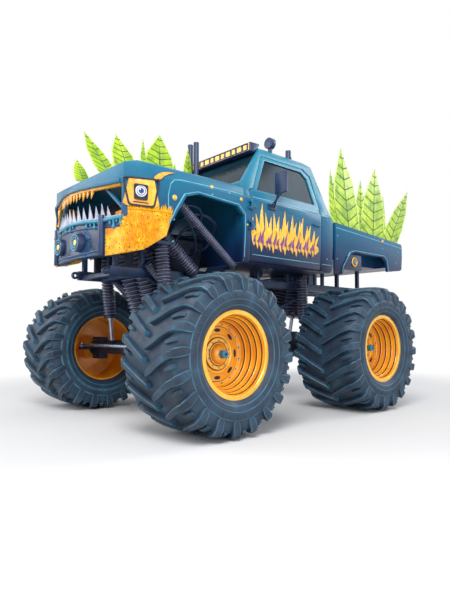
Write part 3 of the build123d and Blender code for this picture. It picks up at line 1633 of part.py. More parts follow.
def side_mirror():
    foot_y = body_half_width + seat_clearance
    foot_z = sill_height + mirror_foot_share * body_height
    x, y, low = hinge_x - mirror_setback, body_half_width + mirror_reach, belt_height - mirror_drop
    foot = block(x - 2 * mirror_thickness, x + 2 * mirror_thickness, foot_y, foot_y + mirror_thickness / 2,
                 foot_z - mirror_thickness, foot_z + mirror_thickness)
    head = block(x - mirror_thickness / 2, x + mirror_thickness / 2, y - mirror_half_width, y + mirror_half_width,
                 low, low + mirror_height)
    pieces = [foot, head]
    for way in (-1, 1):
        start = (x + way * mirror_thickness, foot_y + mirror_thickness / 2, foot_z)
        end = (x, y + way * mirror_half_width / 2, low + mirror_thickness)
        pieces.append(rod(start, end, mirror_arm_radius))
    return fuse(pieces)


# Assembly

def place_wheel(shape, front, left):
    """A wheel piece modelled for the left side, set at one corner."""
    placed = shape if left else mirror(shape, about=Plane.XZ)
    x = front_axle_x if front else -front_axle_x
    return Pos(x, wheel_y if left else -wheel_y, axle_height) * placed


def build_nodes():
    nodes = {
        "frame_rails": frame_rails(),
        "frame_crossbars": frame_crossbars(),
        "body_mounts": body_mounts(),
        "frame_diagonals": frame_diagonals(),
        "link_brackets": link_brackets(),
        "shock_towers": shock_towers(),
        "engine": engine(),
        "gearbox": gearbox(),
        "transfer_case": transfer_case(),
        "drive_shafts": drive_shafts(),
        "front_axle": front_axle(),
        "rear_axle": rear_axle(),
        "suspension_links": suspension_links(),
        "bellows": bellows(),
        "hoses": hoses(),
        "cab_shell": cab_shell(),
        "cab_glass": cab_glass(),
        "roll_cage": roll_cage(),
        "driver_seat": driver_seat(),
        "dashboard": dashboard(),
        "front_clip": front_clip(),
        "headlamps": both_sides(headlamp()) + both_sides(brow()),
        "radiator": radiator(),
        "upper_teeth": upper_teeth(),
        "lower_teeth": lower_teeth(),
        "lower_jaw": lower_jaw(),
        "front_bumper": front_bumper(),
        "front_lamps": front_lamps(),
        "light_bar": light_bar(),
        "roof_lamps": roof_lamps(),
        "exhaust_stacks": exhaust_stacks(),
        "bed_shell": bed_shell(),
        "marker_pods": marker_pods(),
        "crest_hood": crest_hood(),
        "crest_bed": crest_bed(),
        "tailgate": tailgate(),
    }
    for name, shape in (("door", door()), ("door_glass", door_glass()), ("mirror", side_mirror())):
        nodes[name + "_left"] = shape
        nodes[name + "_right"] = mirror(shape, about=Plane.XZ)
    knuckle = knuckle_left_front()
    tie_rod = tie_rod_front()
    for front, end in ((True, "front"), (False, "rear")):
        turn = Rot(0, 0, 0 if front else 180)
        nodes["tie_rod_" + end] = turn * tie_rod
        for left, side in ((True, "left"), (False, "right")):
            same_hand = left == front
            nodes["knuckle_" + end + "_" + side] = turn * (knuckle if same_hand else mirror(knuckle, about=Plane.XZ))
    rubber, wheel = tyre(), rim()
    for front, end in ((True, "front"), (False, "rear")):
        for left, side in ((True, "left"), (False, "right")):
            nodes["tyre_" + end + "_" + side] = place_wheel(rubber, front, left)
            nodes["rim_" + end + "_" + side] = place_wheel(wheel, front, left)
    return nodes


def as_shape(piece):
    return Compound(children=piece) if isinstance(piece, list) else piece


nodes = {name: as_shape(piece) for name, piece in build_nodes().items()}
boxes = [shape.bounding_box() for shape in nodes.values()]
middle_x = (min(box.min.X for box in boxes) + max(box.max.X for box in boxes)) / 2
lowest_z = min(box.min.Z for box in boxes)
to_origin = Pos(-middle_x, 0, -lowest_z)

os.makedirs("parts", exist_ok=True)
for name, shape in nodes.items():
    export_step(to_origin * shape, "parts/" + name + ".step")
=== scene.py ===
"""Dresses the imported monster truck: materials, rounded panels, tyres, rims, leaves, flames and trim.

Lengths are metres. Places are written from the middle between the axles, as the truck is designed,
and place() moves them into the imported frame."""

import math
import random

import bmesh
import bpy
from mathutils import Matrix, Vector


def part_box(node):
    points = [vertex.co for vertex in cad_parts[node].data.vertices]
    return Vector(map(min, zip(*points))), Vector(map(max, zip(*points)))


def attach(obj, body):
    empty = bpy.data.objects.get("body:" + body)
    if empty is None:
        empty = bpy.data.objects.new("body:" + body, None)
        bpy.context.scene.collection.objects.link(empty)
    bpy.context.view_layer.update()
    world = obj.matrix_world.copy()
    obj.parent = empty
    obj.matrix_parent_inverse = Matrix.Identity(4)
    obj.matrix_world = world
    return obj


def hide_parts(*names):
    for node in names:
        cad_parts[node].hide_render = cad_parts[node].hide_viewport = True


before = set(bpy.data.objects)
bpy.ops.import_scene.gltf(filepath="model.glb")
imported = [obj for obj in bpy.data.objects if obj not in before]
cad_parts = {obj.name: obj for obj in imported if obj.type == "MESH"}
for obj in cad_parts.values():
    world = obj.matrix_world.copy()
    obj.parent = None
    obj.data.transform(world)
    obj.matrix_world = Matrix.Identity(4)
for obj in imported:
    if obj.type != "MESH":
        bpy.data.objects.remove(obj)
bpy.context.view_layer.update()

# Stance and body
wheelbase = 2.7
track = 2.7
axle_height = 0.84
tyre_half_width = 0.485
firewall_x = 0.47
front_length = 1.86
cab_length = 1.8
cab_height = 1.7
bed_length = 1.92
bed_rear_x = -3.32
bed_height = 0.76
sill_height = 1.93
hood_height = 2.985

corners = [("front_left", 1, 1), ("front_right", 1, -1), ("rear_left", -1, 1), ("rear_right", -1, -1)]

rim_low, rim_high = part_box("rim_front_left")
shift = Vector(((rim_low[0] + rim_high[0]) / 2 - wheelbase / 2, 0,
                (rim_low[2] + rim_high[2]) / 2 - axle_height))


def place(x, y, z):
    """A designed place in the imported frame."""
    return Vector((x, y, z)) + shift


# Materials

def new_material(name):
    material = bpy.data.materials.new(name)
    material.use_nodes = True
    tree = material.node_tree
    return material, tree, tree.nodes["Principled BSDF"]


def feed(tree, node, **inputs):
    """Links each named input of a node to a socket, or sets it to a value."""
    for key, value in inputs.items():
        socket = node.inputs[key.replace("_", " ")]
        if isinstance(value, bpy.types.NodeSocket):
            tree.links.new(value, socket)
        else:
            socket.default_value = value
    return node


def add_node(tree, kind, **inputs):
    return feed(tree, tree.nodes.new(kind), **inputs)


def coordinates(tree):
    return tree.nodes.new("ShaderNodeTexCoord").outputs["Object"]


def ramp(tree, source, stops):
    """A colour ramp of (place, colour) stops."""
    node = add_node(tree, "ShaderNodeValToRGB", Fac=source)
    elements = node.color_ramp.elements
    while len(elements) < len(stops):
        elements.new(0.5)
    for element, (spot, colour) in zip(elements, stops):
        element.position = spot
        element.color = (*colour, 1)
    return node.outputs["Color"]


def texture_noise(tree, scale, detail=4):
    node = add_node(tree, "ShaderNodeTexNoise", Scale=scale, Detail=detail, Vector=coordinates(tree))
    return node.outputs["Fac"]


def multiplied(tree, first, second):
    """The product of two colours; a Mix node's colour sockets have the numbers 6, 7 and 2."""
    node = tree.nodes.new("ShaderNodeMix")
    node.data_type = "RGBA"
    node.blend_type = "MULTIPLY"
    node.inputs["Factor"].default_value = 1
    tree.links.new(first, node.inputs[6])
    tree.links.new(second, node.inputs[7])
    return node.outputs[2]


def map_range(tree, source, **inputs):
    return add_node(tree, "ShaderNodeMapRange", Value=source, **inputs).outputs["Result"]


def height_share(tree, low, high):
    """0 at a low height and 1 at a high one."""
    split = add_node(tree, "ShaderNodeSeparateXYZ", Vector=coordinates(tree))
    return map_range(tree, split.outputs["Z"], From_Min=low + shift.z, From_Max=high + shift.z)


def add_bump(tree, shader, scale, strength, distance, detail=4):
    height = texture_noise(tree, scale, detail)
    node = add_node(tree, "ShaderNodeBump", Strength=strength, Distance=distance, Height=height)
    feed(tree, shader, Normal=node.outputs["Normal"])


def vary_roughness(tree, shader, low, high, scale):
    feed(tree, shader, Roughness=map_range(tree, texture_noise(tree, scale), To_Min=low, To_Max=high))


def speckled(name, base, other, scale, roughness, metallic=0, coat=0):
    """One colour with a soft mottle, uneven gloss and fine relief."""
    material, tree, shader = new_material(name)
    mottle = ramp(tree, texture_noise(tree, scale, detail=6), [(0.35, base), (0.7, other)])
    feed(tree, shader, Base_Color=mottle, Metallic=metallic, Coat_Weight=coat, Coat_Roughness=0.08)
    vary_roughness(tree, shader, low=0.8 * roughness, high=1.25 * roughness, scale=2 * scale)
    add_bump(tree, shader, scale=12 * scale, strength=0.15, distance=0.002)
    return material


def body_paint():
    """Blue paint with painted shade, running from teal on top to navy at the sill, with clouds of dust."""
    material, tree, shader = new_material("body_paint")
    # Painted light and shade: the colour darkens toward the sill and lightens toward the top.
    fade = ramp(tree, height_share(tree, low=1.9, high=3.1), [
        (0.0, (0.004, 0.01, 0.046)), (0.2, (0.005, 0.03, 0.1)), (0.45, (0.004, 0.09, 0.19)),
        (0.75, (0.004, 0.15, 0.26)), (1.0, (0.006, 0.21, 0.32))])
    clouds = ramp(tree, texture_noise(tree, scale=2.2, detail=5), [
        (0.3, (0.8, 0.86, 0.92)), (0.7, (1, 1, 1))])
    feed(tree, shader, Base_Color=multiplied(tree, fade, clouds), Coat_Weight=0.18, Coat_Roughness=0.12,
         Specular_IOR_Level=0.32)
    vary_roughness(tree, shader, low=0.34, high=0.52, scale=9)
    add_bump(tree, shader, scale=140, strength=0.04, distance=0.001)
    return material


def leaf_skin():
    """Lime leaf with darker and yellow patches."""
    material, tree, shader = new_material("leaf_skin")
    patches = ramp(tree, texture_noise(tree, scale=7, detail=5), [
        (0.3, (0.16, 0.34, 0.008)), (0.5, (0.36, 0.58, 0.012)), (0.72, (0.62, 0.78, 0.03))])
    feed(tree, shader, Base_Color=patches, Roughness=0.42, Coat_Weight=0.2)
    add_bump(tree, shader, scale=60, strength=0.25, distance=0.004)
    return material


def jaw_fur():
    """Orange and yellow hide with dark specks."""
    material, tree, shader = new_material("jaw_fur")
    base = ramp(tree, texture_noise(tree, scale=9, detail=6), [
        (0.3, (0.7, 0.23, 0.006)), (0.5, (0.88, 0.43, 0.012)), (0.68, (0.96, 0.62, 0.03))])
    cells = add_node(tree, "ShaderNodeTexVoronoi", Scale=26, Vector=coordinates(tree))
    specks = ramp(tree, cells.outputs["Distance"], [(0.16, (0.05, 0.03, 0.05)), (0.24, (1, 1, 1))])
    feed(tree, shader, Base_Color=multiplied(tree, base, specks), Roughness=0.55)
    add_bump(tree, shader, scale=45, strength=0.5, distance=0.01, detail=8)
    return material


def tyre_rubber():
    """Slate blue rubber with dust that gathers in patches."""
    material, tree, shader = new_material("tyre_rubber_look")
    dust = ramp(tree, texture_noise(tree, scale=5, detail=8), [
        (0.35, (0.01, 0.022, 0.045)), (0.62, (0.02, 0.05, 0.09)), (0.8, (0.045, 0.11, 0.16))])
    feed(tree, shader, Base_Color=dust)
    vary_roughness(tree, shader, low=0.45, high=0.72, scale=14)
    add_bump(tree, shader, scale=90, strength=0.25, distance=0.004, detail=6)
    return material


def window_film():
    """Dark glass whose colour has a teal sheen painted into it in broad patches."""
    material, tree, shader = new_material("window_film")
    tint_and_sheen = ramp(tree, texture_noise(tree, scale=1.6, detail=2), [
        (0.3, (0.004, 0.012, 0.022)), (0.7, (0.012, 0.04, 0.06))])
    feed(tree, shader, Base_Color=tint_and_sheen, Roughness=0.12, Transmission_Weight=0.025, Specular_IOR_Level=0.12,
         IOR=1.3)
    return material


# Mottled materials: name, first and second colour, scale of the mottle, roughness, and metallic and coat
# where they aren't 0.
speckled_rows = [
    ("navy_paint", (0.006, 0.018, 0.066), (0.01, 0.04, 0.12), 3.0, 0.42, 0.0, 0.08),
    ("navy_light", (0.012, 0.06, 0.16), (0.02, 0.11, 0.24), 6.0, 0.4, 0.0, 0.1),
    ("trim_blue", (0.01, 0.18, 0.3), (0.025, 0.28, 0.41), 4.0, 0.35, 0.0, 0.2),
    # Painted highlight on the body's creases, shut lines, arch edges and rivet heads.
    ("pale_highlight", (0.09, 0.4, 0.53), (0.15, 0.5, 0.62), 6.0, 0.4, 0.0, 0.1),
    ("shadow_line", (0.004, 0.008, 0.022), (0.008, 0.016, 0.04), 6.0, 0.6),
    ("frame_steel", (0.008, 0.022, 0.066), (0.022, 0.062, 0.15), 5.0, 0.42, 0.2, 0.08),
    ("dark_iron", (0.014, 0.018, 0.034), (0.03, 0.04, 0.07), 8.0, 0.5, 0.6),
    ("bright_steel", (0.3, 0.34, 0.42), (0.46, 0.5, 0.6), 12.0, 0.28, 0.9),
    ("rim_paint", (0.8, 0.285, 0.008), (0.95, 0.43, 0.02), 5.0, 0.34, 0.1, 0.5),
    # A brighter orange: the painted highlight on the rim's lip and ridges.
    ("rim_lip_paint", (0.95, 0.48, 0.03), (1.0, 0.6, 0.07), 6.0, 0.28, 0.2, 0.6),
    ("gold_stud", (0.86, 0.36, 0.01), (0.98, 0.56, 0.04), 20.0, 0.3, 0.3, 0.5),
    ("fang_orange_look", (0.86, 0.3, 0.008), (0.98, 0.56, 0.05), 12.0, 0.35, 0.0, 0.4),
    ("tooth_white", (0.34, 0.38, 0.5), (0.7, 0.73, 0.82), 14.0, 0.4, 0.0, 0.2),
    ("bellows_rubber_look", (0.014, 0.018, 0.048), (0.04, 0.048, 0.1), 9.0, 0.4, 0.1, 0.2),
    # Painted highlight on the crests of the bellows' and hoses' folds.
    ("pale_edge", (0.2, 0.22, 0.38), (0.34, 0.38, 0.56), 9.0, 0.4),
    # Painted highlight on the tread bars' lit edges, their end caps and the sidewall's rings.
    ("tread_edge", (0.022, 0.09, 0.15), (0.045, 0.17, 0.25), 7.0, 0.5),
    ("leaf_vein", (0.02, 0.075, 0.012), (0.05, 0.13, 0.02), 30.0, 0.5),
    ("leaf_rim", (0.6, 0.8, 0.1), (0.8, 0.92, 0.25), 20.0, 0.4),
    ("flame_yellow", (0.9, 0.44, 0.01), (1.0, 0.62, 0.03), 16.0, 0.35, 0.0, 0.4),
    ("flame_purple", (0.14, 0.03, 0.15), (0.27, 0.06, 0.22), 22.0, 0.4, 0.0, 0.3),
    ("seat_vinyl_look", (0.012, 0.014, 0.022), (0.028, 0.03, 0.044), 22.0, 0.5),
    ("eye_blue", (0.01, 0.06, 0.3), (0.02, 0.11, 0.42), 30.0, 0.2, 0, 0.5),
    ("dark_red", (0.1, 0.012, 0.004), (0.18, 0.03, 0.006), 30.0, 0.4),
    ("white_ring", (0.62, 0.64, 0.7), (0.8, 0.8, 0.84), 20.0, 0.35),
]
looks = {row[0]: speckled(*row) for row in speckled_rows}
looks.update(body_paint=body_paint(), leaf_skin=leaf_skin(), jaw_fur=jaw_fur(), tyre_rubber=tyre_rubber(),
             window_film=window_film())

# Mesh helpers. A part is (verts, faces, tags), and a tag picks one of its piece's materials.

weld_distance = 1e-5
flat_degrees = 1.0
bevel_degrees = 25


def to_object(name, mesh, materials, body, smooth_angle=None):
    """An object on a body, with the named materials, shaded smooth below an angle."""
    piece = bpy.data.objects.new(name, mesh)
    bpy.context.scene.collection.objects.link(piece)
    if mesh.materials:
        mesh.materials.clear()
    for material in materials.split():
        mesh.materials.append(looks[material])
    if smooth_angle is not None:
        mesh.shade_smooth()
        edit_mesh(mesh, lambda shape: sharpen(shape, smooth_angle))
    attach(piece, body)
    return piece


def edit_mesh(mesh, change):
    """Makes a change to a mesh by way of a bmesh."""
    shape = bmesh.new()
    shape.from_mesh(mesh)
    change(shape)
    shape.to_mesh(mesh)
    shape.free()


def sharpen(shape, angle):
    """Marks the edges that bend more than an angle as sharp."""
    for edge in shape.edges:
        if len(edge.link_faces) == 2:
            edge.smooth = edge.calc_face_angle(0) < math.radians(angle)


def merge_flat(shape):
    """Merges doubled corners, and faces that lie in one plane."""
    bmesh.ops.remove_doubles(shape, verts=shape.verts, dist=weld_distance)
    bmesh.ops.dissolve_limit(shape, angle_limit=math.radians(flat_degrees), verts=shape.verts,
                             edges=shape.edges)


def drop_slivers(shape):
    """Merges doubled corners, and drops faces without an area."""
    bmesh.ops.remove_doubles(shape, verts=shape.verts, dist=weld_distance)
    bmesh.ops.dissolve_degenerate(shape, edges=shape.edges, dist=weld_distance)


def mesh_of(name, verts, faces, tags):
    mesh = bpy.data.meshes.new(name)
    mesh.from_pydata([tuple(v) for v in verts], [], faces)
    for polygon, tag in zip(mesh.polygons, tags):
        polygon.material_index = tag
    mesh.update()
    return mesh


def add_piece(name, part, materials, smooth_angle=40, body="chassis"):
    """A piece made of one part."""
    return to_object(name, mesh_of(name + "_shape", *part), materials, body, smooth_angle)


def dress(node, materials, body, bevel, segments=2):
    """A copy of a CAD node with rounded edges, which stands for the node."""
    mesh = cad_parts[node].data.copy()
    mesh.name = node + "_shape"
    edit_mesh(mesh, merge_flat)
    piece = to_object(node + "_skin", mesh, materials, body)
    rounding = piece.modifiers.new("rounding", "BEVEL")
    rounding.width = bevel
    rounding.segments = segments
    rounding.limit_method = "ANGLE"
    rounding.angle_limit = math.radians(bevel_degrees)
    rounding.use_clamp_overlap = True
    rounding.harden_normals = True
    mesh.shade_smooth()
    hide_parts(node)


def paint_node(node, material):
    """Gives a CAD node that stays its finished material."""
    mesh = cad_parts[node].data
    mesh.materials.clear()
    mesh.materials.append(looks[material])


def quad(row, column, next_row, next_column, count):
    """A face of a grid of vertices with count columns."""
    return (row * count + column, row * count + next_column,
            next_row * count + next_column, next_row * count + column)


def lathe(rows, steps):
    """A (radius, y, tag) profile turned about the Y axis."""
    verts, faces, tags = [], [], []
    for k in range(steps):
        angle = math.tau * k / steps
        for radius, y, tag in rows:
            verts.append((radius * math.cos(angle), y, radius * math.sin(angle)))
    for k in range(steps):
        for i in range(len(rows) - 1):
            faces.append(quad(k, i, (k + 1) % steps, i + 1, len(rows)))
            tags.append(rows[i][2])
    return verts, faces, tags


def join(parts):
    """Joins parts into one."""
    verts, faces, tags = [], [], []
    for part_verts, part_faces, part_tags in parts:
        base = len(verts)
        verts += part_verts
        faces += [tuple(base + i for i in face) for face in part_faces]
        tags += part_tags
    return verts, faces, tags


def moved(part, matrix):
    verts, faces, tags = part
    return [matrix @ Vector(v) for v in verts], faces, tags


def flipped(part):
    """The same part mirrored to the other side of the truck."""
    verts, faces, tags = part
    return [(v[0], -v[1], v[2]) for v in verts], [tuple(reversed(face)) for face in faces], tags


def both_sides(part):
    return join([part, flipped(part)])


def prism_part(sides, tag, rows):
    """A prism about the Y axis through (radius, y) rows, closed at both ends."""
    verts, faces, tags = lathe([(r, y, tag) for r, y in rows], sides)
    count = len(rows)
    faces.append(tuple(k * count for k in range(sides)))
    faces.append(tuple(k * count + count - 1 for k in range(sides)))
    return verts, faces, tags + [tag, tag]


def dome_rows(radius, base, height, steps, tip):
    """Rows of a dome from its edge to a small tip."""
    angles = [math.pi / 2 * k / steps for k in range(steps + 1)]
    return [(max(radius * math.cos(angle), tip), base + height * math.sin(angle), 0) for angle in angles]


# Wheels

lug_count = 20
lug_turn = math.tau / lug_count
lug_stagger_share = 0.25

# A bar of the tread: y, radius, turn as a share of the pitch, half width, height, tilt of its normal in
# degrees.
bar_rows = [
    (0.012, 0.778, -0.66, 0.03, 0.06, 0), (0.06, 0.778, -0.56, 0.036, 0.061, 0),
    (0.15, 0.778, -0.37, 0.038, 0.061, 0), (0.24, 0.777, -0.17, 0.038, 0.061, 0),
    (0.32, 0.775, 0.00, 0.04, 0.06, 3), (0.372, 0.77, 0.08, 0.041, 0.058, 8),
    (0.4, 0.765, 0.12, 0.034, 0.046, 14),
]
# The block that ends a bar over the shoulder, on the same terms.
block_rows = [
    (0.398, 0.768, 0.13, 0.042, 0.054, 16), (0.425, 0.758, 0.17, 0.052, 0.056, 26),
    (0.452, 0.735, 0.22, 0.055, 0.044, 48), (0.468, 0.7, 0.26, 0.052, 0.026, 72),
    (0.474, 0.665, 0.28, 0.044, 0.014, 84), (0.474, 0.64, 0.29, 0.026, 0.009, 90),
]
# A low bar between two others, near the middle of the tread.
stub_rows = [
    (0.3, 0.776, -0.46, 0.018, 0.03, 2), (0.35, 0.773, -0.4, 0.024, 0.034, 6),
    (0.395, 0.766, -0.34, 0.026, 0.034, 14), (0.43, 0.75, -0.3, 0.022, 0.026, 30),
]
# Section of a bar: share of its half width, share of its height, 1 where its edge catches the light.
bar_section_shares = [
    (-1.0, -0.4, 0), (-0.96, 0.45, 0), (-0.84, 0.86, 1), (-0.66, 1.0, 0), (0.66, 1.0, 1), (0.84, 0.86, 0),
    (0.96, 0.45, 0), (1.0, -0.4, 0),
]


def tread_bar(rows, angle, side):
    """One bar of the tread; side is 1 outside and -1 inside."""
    verts, faces, tags = [], [], []
    for y, radius, turn, half, height, lean in rows:
        rise, slide = height * math.cos(math.radians(lean)), height * math.sin(math.radians(lean))
        for across, up, tag in bar_section_shares:
            r = radius + up * rise
            spin = angle + turn * lug_turn + across * half / radius
            verts.append((r * math.cos(spin), side * (y + up * slide), r * math.sin(spin)))
    count = len(bar_section_shares)
    for i in range(len(rows) - 1):
        for j in range(count - 1):
            faces.append(quad(i, j, i + 1, j + 1, count))
            tags.append(bar_section_shares[j][2])
    # The bar's end caps take the painted highlight too.
    faces.append(tuple(range(count)))
    faces.append(tuple(range((len(rows) - 1) * count, len(rows) * count)))
    return verts, faces, tags + [1, 1]


# The carcass from its inner bead to its outer one: share of the way across, radius, tag, with 1 for the
# sidewall's rings in the painted highlight.
carcass_half_rows = [
    (0.0, 0.776, 0), (0.55, 0.776, 0), (0.8, 0.772, 0), (0.885, 0.758, 0), (0.93, 0.735, 0),
    (0.955, 0.7, 0), (0.965, 0.66, 0), (0.975, 0.64, 1), (0.985, 0.632, 0), (0.99, 0.59, 0),
    (0.992, 0.56, 1), (0.985, 0.552, 0), (0.978, 0.515, 0), (0.962, 0.5, 1), (0.95, 0.492, 0),
    (0.915, 0.468, 0), (0.88, 0.452, 0), (0.85, 0.441, 0),
]
# A short slanted rib on the sidewall between two of its rings, on a bar's terms.
sidewall_rows = [
    (0.4745, 0.618, 0.0, 0.006, 0.006, 90), (0.4775, 0.6, 0.05, 0.008, 0.008, 90),
    (0.478, 0.572, 0.12, 0.005, 0.006, 90),
]
sidewall_marks = 40
sidewall_start_share = 0.3
carcass_steps = 120


def tyre_part():
    """Carcass, bars, shoulder blocks and the sidewall's short ribs, about the Y axis."""
    outer = [(r, share * tyre_half_width, tag) for share, r, tag in carcass_half_rows]
    inner = [(r, -share * tyre_half_width, tag) for share, r, tag in reversed(carcass_half_rows[1:])]
    parts = [lathe(inner + outer, carcass_steps)]
    for side in (1, -1):
        for k in range(lug_count):
            angle = math.pi / 2 - lug_turn * (k + lug_stagger_share * (1 - side))
            for rows in (bar_rows, block_rows, stub_rows):
                parts.append(tread_bar(rows, angle, side))
        for k in range(sidewall_marks):
            angle = math.tau * (k + sidewall_start_share) / sidewall_marks
            parts.append(tread_bar(sidewall_rows, angle, side))
    return join(parts)


# Rim, from the back of its barrel over the lip to the nut: radius, y, tag. Tag 1 is the bright lip and the
# tops of the ridges by the hub, a painted highlight.
# Tag 2 is painted shade on the faces of the steps in the bowl and in the grooves by the hub.
rim_rows = [
    (0.423, -0.405, 0), (0.4385, -0.412, 0), (0.439, -0.395, 0), (0.439, 0.392, 0), (0.446, 0.404, 1),
    (0.45, 0.414, 1), (0.449, 0.4225, 1), (0.442, 0.4245, 1), (0.408, 0.4245, 1), (0.403, 0.418, 0),
    (0.401, 0.396, 0), (0.396, 0.388, 2), (0.392, 0.372, 0), (0.388, 0.33, 0), (0.38, 0.322, 2),
    (0.377, 0.306, 0), (0.37, 0.262, 0), (0.361, 0.254, 2), (0.358, 0.238, 0), (0.35, 0.19, 0),
    (0.34, 0.182, 2), (0.337, 0.166, 0), (0.329, 0.13, 0), (0.316, 0.119, 0), (0.296, 0.117, 0),
    (0.29, 0.113, 2), (0.284, 0.117, 0), (0.208, 0.1175, 0), (0.2, 0.126, 1), (0.19, 0.129, 1),
    (0.182, 0.126, 0), (0.174, 0.122, 2), (0.166, 0.128, 0), (0.162, 0.137, 1), (0.152, 0.1405, 1),
    (0.132, 0.1405, 0), (0.126, 0.136, 2), (0.118, 0.1405, 0), (0.104, 0.142, 0),
]
rim_back_rows = [
    (0.423, -0.405, 0), (0.4225, 0.03, 0), (0.3, 0.088, 0), (0.17, 0.088, 0), (0.164, -0.096, 0),
    (0.072, -0.098, 0),
]
rim_steps = 96
dome_radius = 0.1
dome_base = 0.142
dome_height = 0.056
dome_steps = 8
dome_sides = 64
dome_tip = 0.001
nut_radius = 0.046
nut_top = 0.2545
nut_foot = dome_base + dome_height - 0.012
# The hub's nut and the recess in it, a dark disc of painted shadow: sides, tag and (radius, y) rows.
nut_prisms = [
    (6, 3, [(nut_radius, nut_foot), (nut_radius, nut_top - 0.006), (0.8 * nut_radius, nut_top)]),
    (16, 4, [(0.4 * nut_radius, nut_top - 0.002), (0.36 * nut_radius, nut_top + 0.0004)]),
]
# Holes, each a dark disc of painted shadow with a dark ring round it, and two rings of bolts on the disc:
# count, turn as a share of the pitch, radius of the ring, stretch along x, y and z, and the prisms of each as
# above.
disc_rows = [
    (8, 0, 0.246, (0.55, 1, 1.25), [(20, 4, [(0.03, 0.112), (0.03, 0.1186)]),
                                    (20, 2, [(0.036, 0.112), (0.034, 0.1181)])]),
    (16, 0.5, 0.306, (1, 1, 1), [(6, 3, [(0.0085, 0.112), (0.0085, 0.124), (0.006, 0.1265)])]),
    (10, 0.5, 0.142, (1, 1, 1), [(6, 3, [(0.0075, 0.136), (0.0075, 0.1475), (0.005, 0.1495)])]),
]


def rim_part():
    """Barrel, bowl, disc and dome, with holes painted as dark discs of shadow and bolts round the disc."""
    dome = dome_rows(dome_radius, dome_base, dome_height, dome_steps, dome_tip)
    parts = [lathe(rim_rows, rim_steps), lathe(rim_back_rows, rim_steps), lathe(dome, dome_sides)]
    parts += [prism_part(*prism) for prism in nut_prisms]
    for count, start, radius, stretch, prisms in disc_rows:
        for k in range(count):
            turn = Matrix.Rotation(math.tau * (k + start) / count, 4, "Y")
            spot = turn @ Matrix.Translation((radius, 0, 0)) @ Matrix.Diagonal((*stretch, 1))
            parts += [moved(prism_part(*prism), spot) for prism in prisms]
    return join(parts)


def kept_within(part, radius, half_width):
    """A part about the Y axis with what reaches past a cylinder set back to it."""
    verts, faces, tags = part
    out = []
    for x, y, z in verts:
        share = min(1.0, radius / max(math.hypot(x, z), 0.001))
        out.append((x * share, min(max(y, -half_width), half_width), z * share))
    return out, faces, tags


# Kinds of piece on a wheel: name, materials by tag, slot, angle of the smooth shading.
wheel_rows = [
    ("tyre", "tyre_rubber tread_edge", "tyre_rubber", 35),
    ("rim", "rim_paint rim_lip_paint dark_iron trim_blue shadow_line", "rim_orange", 28),
]


def add_wheels():
    shapes = [kept_within(tyre_part(), axle_height + shift.z, tyre_half_width), rim_part()]
    for name, front, left in corners:
        hub = Matrix.Translation(place(front * wheelbase / 2, left * track / 2, axle_height))
        for part, (kind, materials, slot, angle) in zip(shapes, wheel_rows):
            sided = moved(part if left == 1 else flipped(part), hub)
            piece = add_piece(kind + "_" + name + "_look", sided, materials, angle, "wheel_" + name)
            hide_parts(kind + "_" + name)


# Bellows: y, top x and z, bottom x and z, radius, pitch of the folds.
bellows_rows = [
    (0.17, 1.481, 2.06, 1.224, 1.3, 0.15, 0.05), (0.17, -1.53, 2.08, -1.348, 1.3, 0.15, 0.05),
    (0.655, 1.5, 2.06, 1.42, 1.25, 0.084, 0.04), (0.5, -1.18, 1.89, -1.225, 1.25, 0.084, 0.04),
    (0.49, 1.573, 1.863, 1.02, 1.362, 0.062, 0.032),
]
hose_rows = [(0.505, 1.38, 2.22, 0.905, 1.8, 0.088, 0.036), (0.872, 1.545, 2.64, 0.575, 1.88, 0.048, 0.026)]
# Rods under the upright bellows: y, top x and z, bottom x and z.
rod_rows = [
    (0.17, 1.224, 1.3, 1.131, 1.03), (0.17, -1.348, 1.3, -1.285, 1.03), (0.655, 1.42, 1.25, 1.39, 0.948),
    (0.5, -1.225, 1.25, -1.246, 0.948),
]
rod_radius = 0.028
rod_sides = 24
rod_head_reach = 0.03
# One fold: share of the radius, share of the fold's length, tag, with 1 for the fold's crest in a painted
# highlight.
fold_shares = [
    (0.86, 0.1, 0), (0.86, 0.24, 0), (0.96, 0.4, 0), (0.995, 0.52, 1), (0.995, 0.64, 0), (0.95, 0.8, 0),
    (0.87, 0.94, 0),
]
fold_sides = 40
fold_edge = 0.004
fold_tip = 0.001


def along(part, start, end):
    """Turns a part made about the Y axis, from y = 0, to run from start towards end."""
    way = Vector(end) - Vector(start)
    turn = Vector((0, 1, 0)).rotation_difference(way.normalized()).to_matrix().to_4x4()
    return moved(part, Matrix.Translation(start) @ turn)


def fold_part(length, radius, pitch):
    """A corrugated tube with a plain collar at each end."""
    collar = min(0.8 * pitch, 0.1 * length)
    ends = [(fold_tip, 0), (0.93 * radius, 0), (0.97 * radius, fold_edge), (0.97 * radius, collar)]
    count = max(3, round((length - 2 * collar) / pitch))
    step = (length - 2 * collar) / count
    rows = [(r, y, 0) for r, y in ends]
    for k in range(count):
        rows += [(share * radius, collar + k * step + part * step, tag) for share, part, tag in fold_shares]
    rows += [(r, length - y, 0) for r, y in reversed(ends)]
    return lathe(rows, fold_sides)


def rod_part(length):
    """A rod with a thicker head."""
    head = 1.6 * rod_radius
    return prism_part(rod_sides, 2, [(rod_radius, 0), (rod_radius, 0.9 * length), (head, 0.9 * length),
                                     (head, length + rod_head_reach)])


def strut_parts(make, y, x0, z0, x1, z1):
    """What make() returns for a length, on both sides, from the foot (x1, z1) to the top (x0, z0)."""
    parts = []
    for side in (1, -1):
        start, end = place(x1, side * y, z1), place(x0, side * y, z0)
        parts.append(along(make((end - start).length), start, end))
    return parts


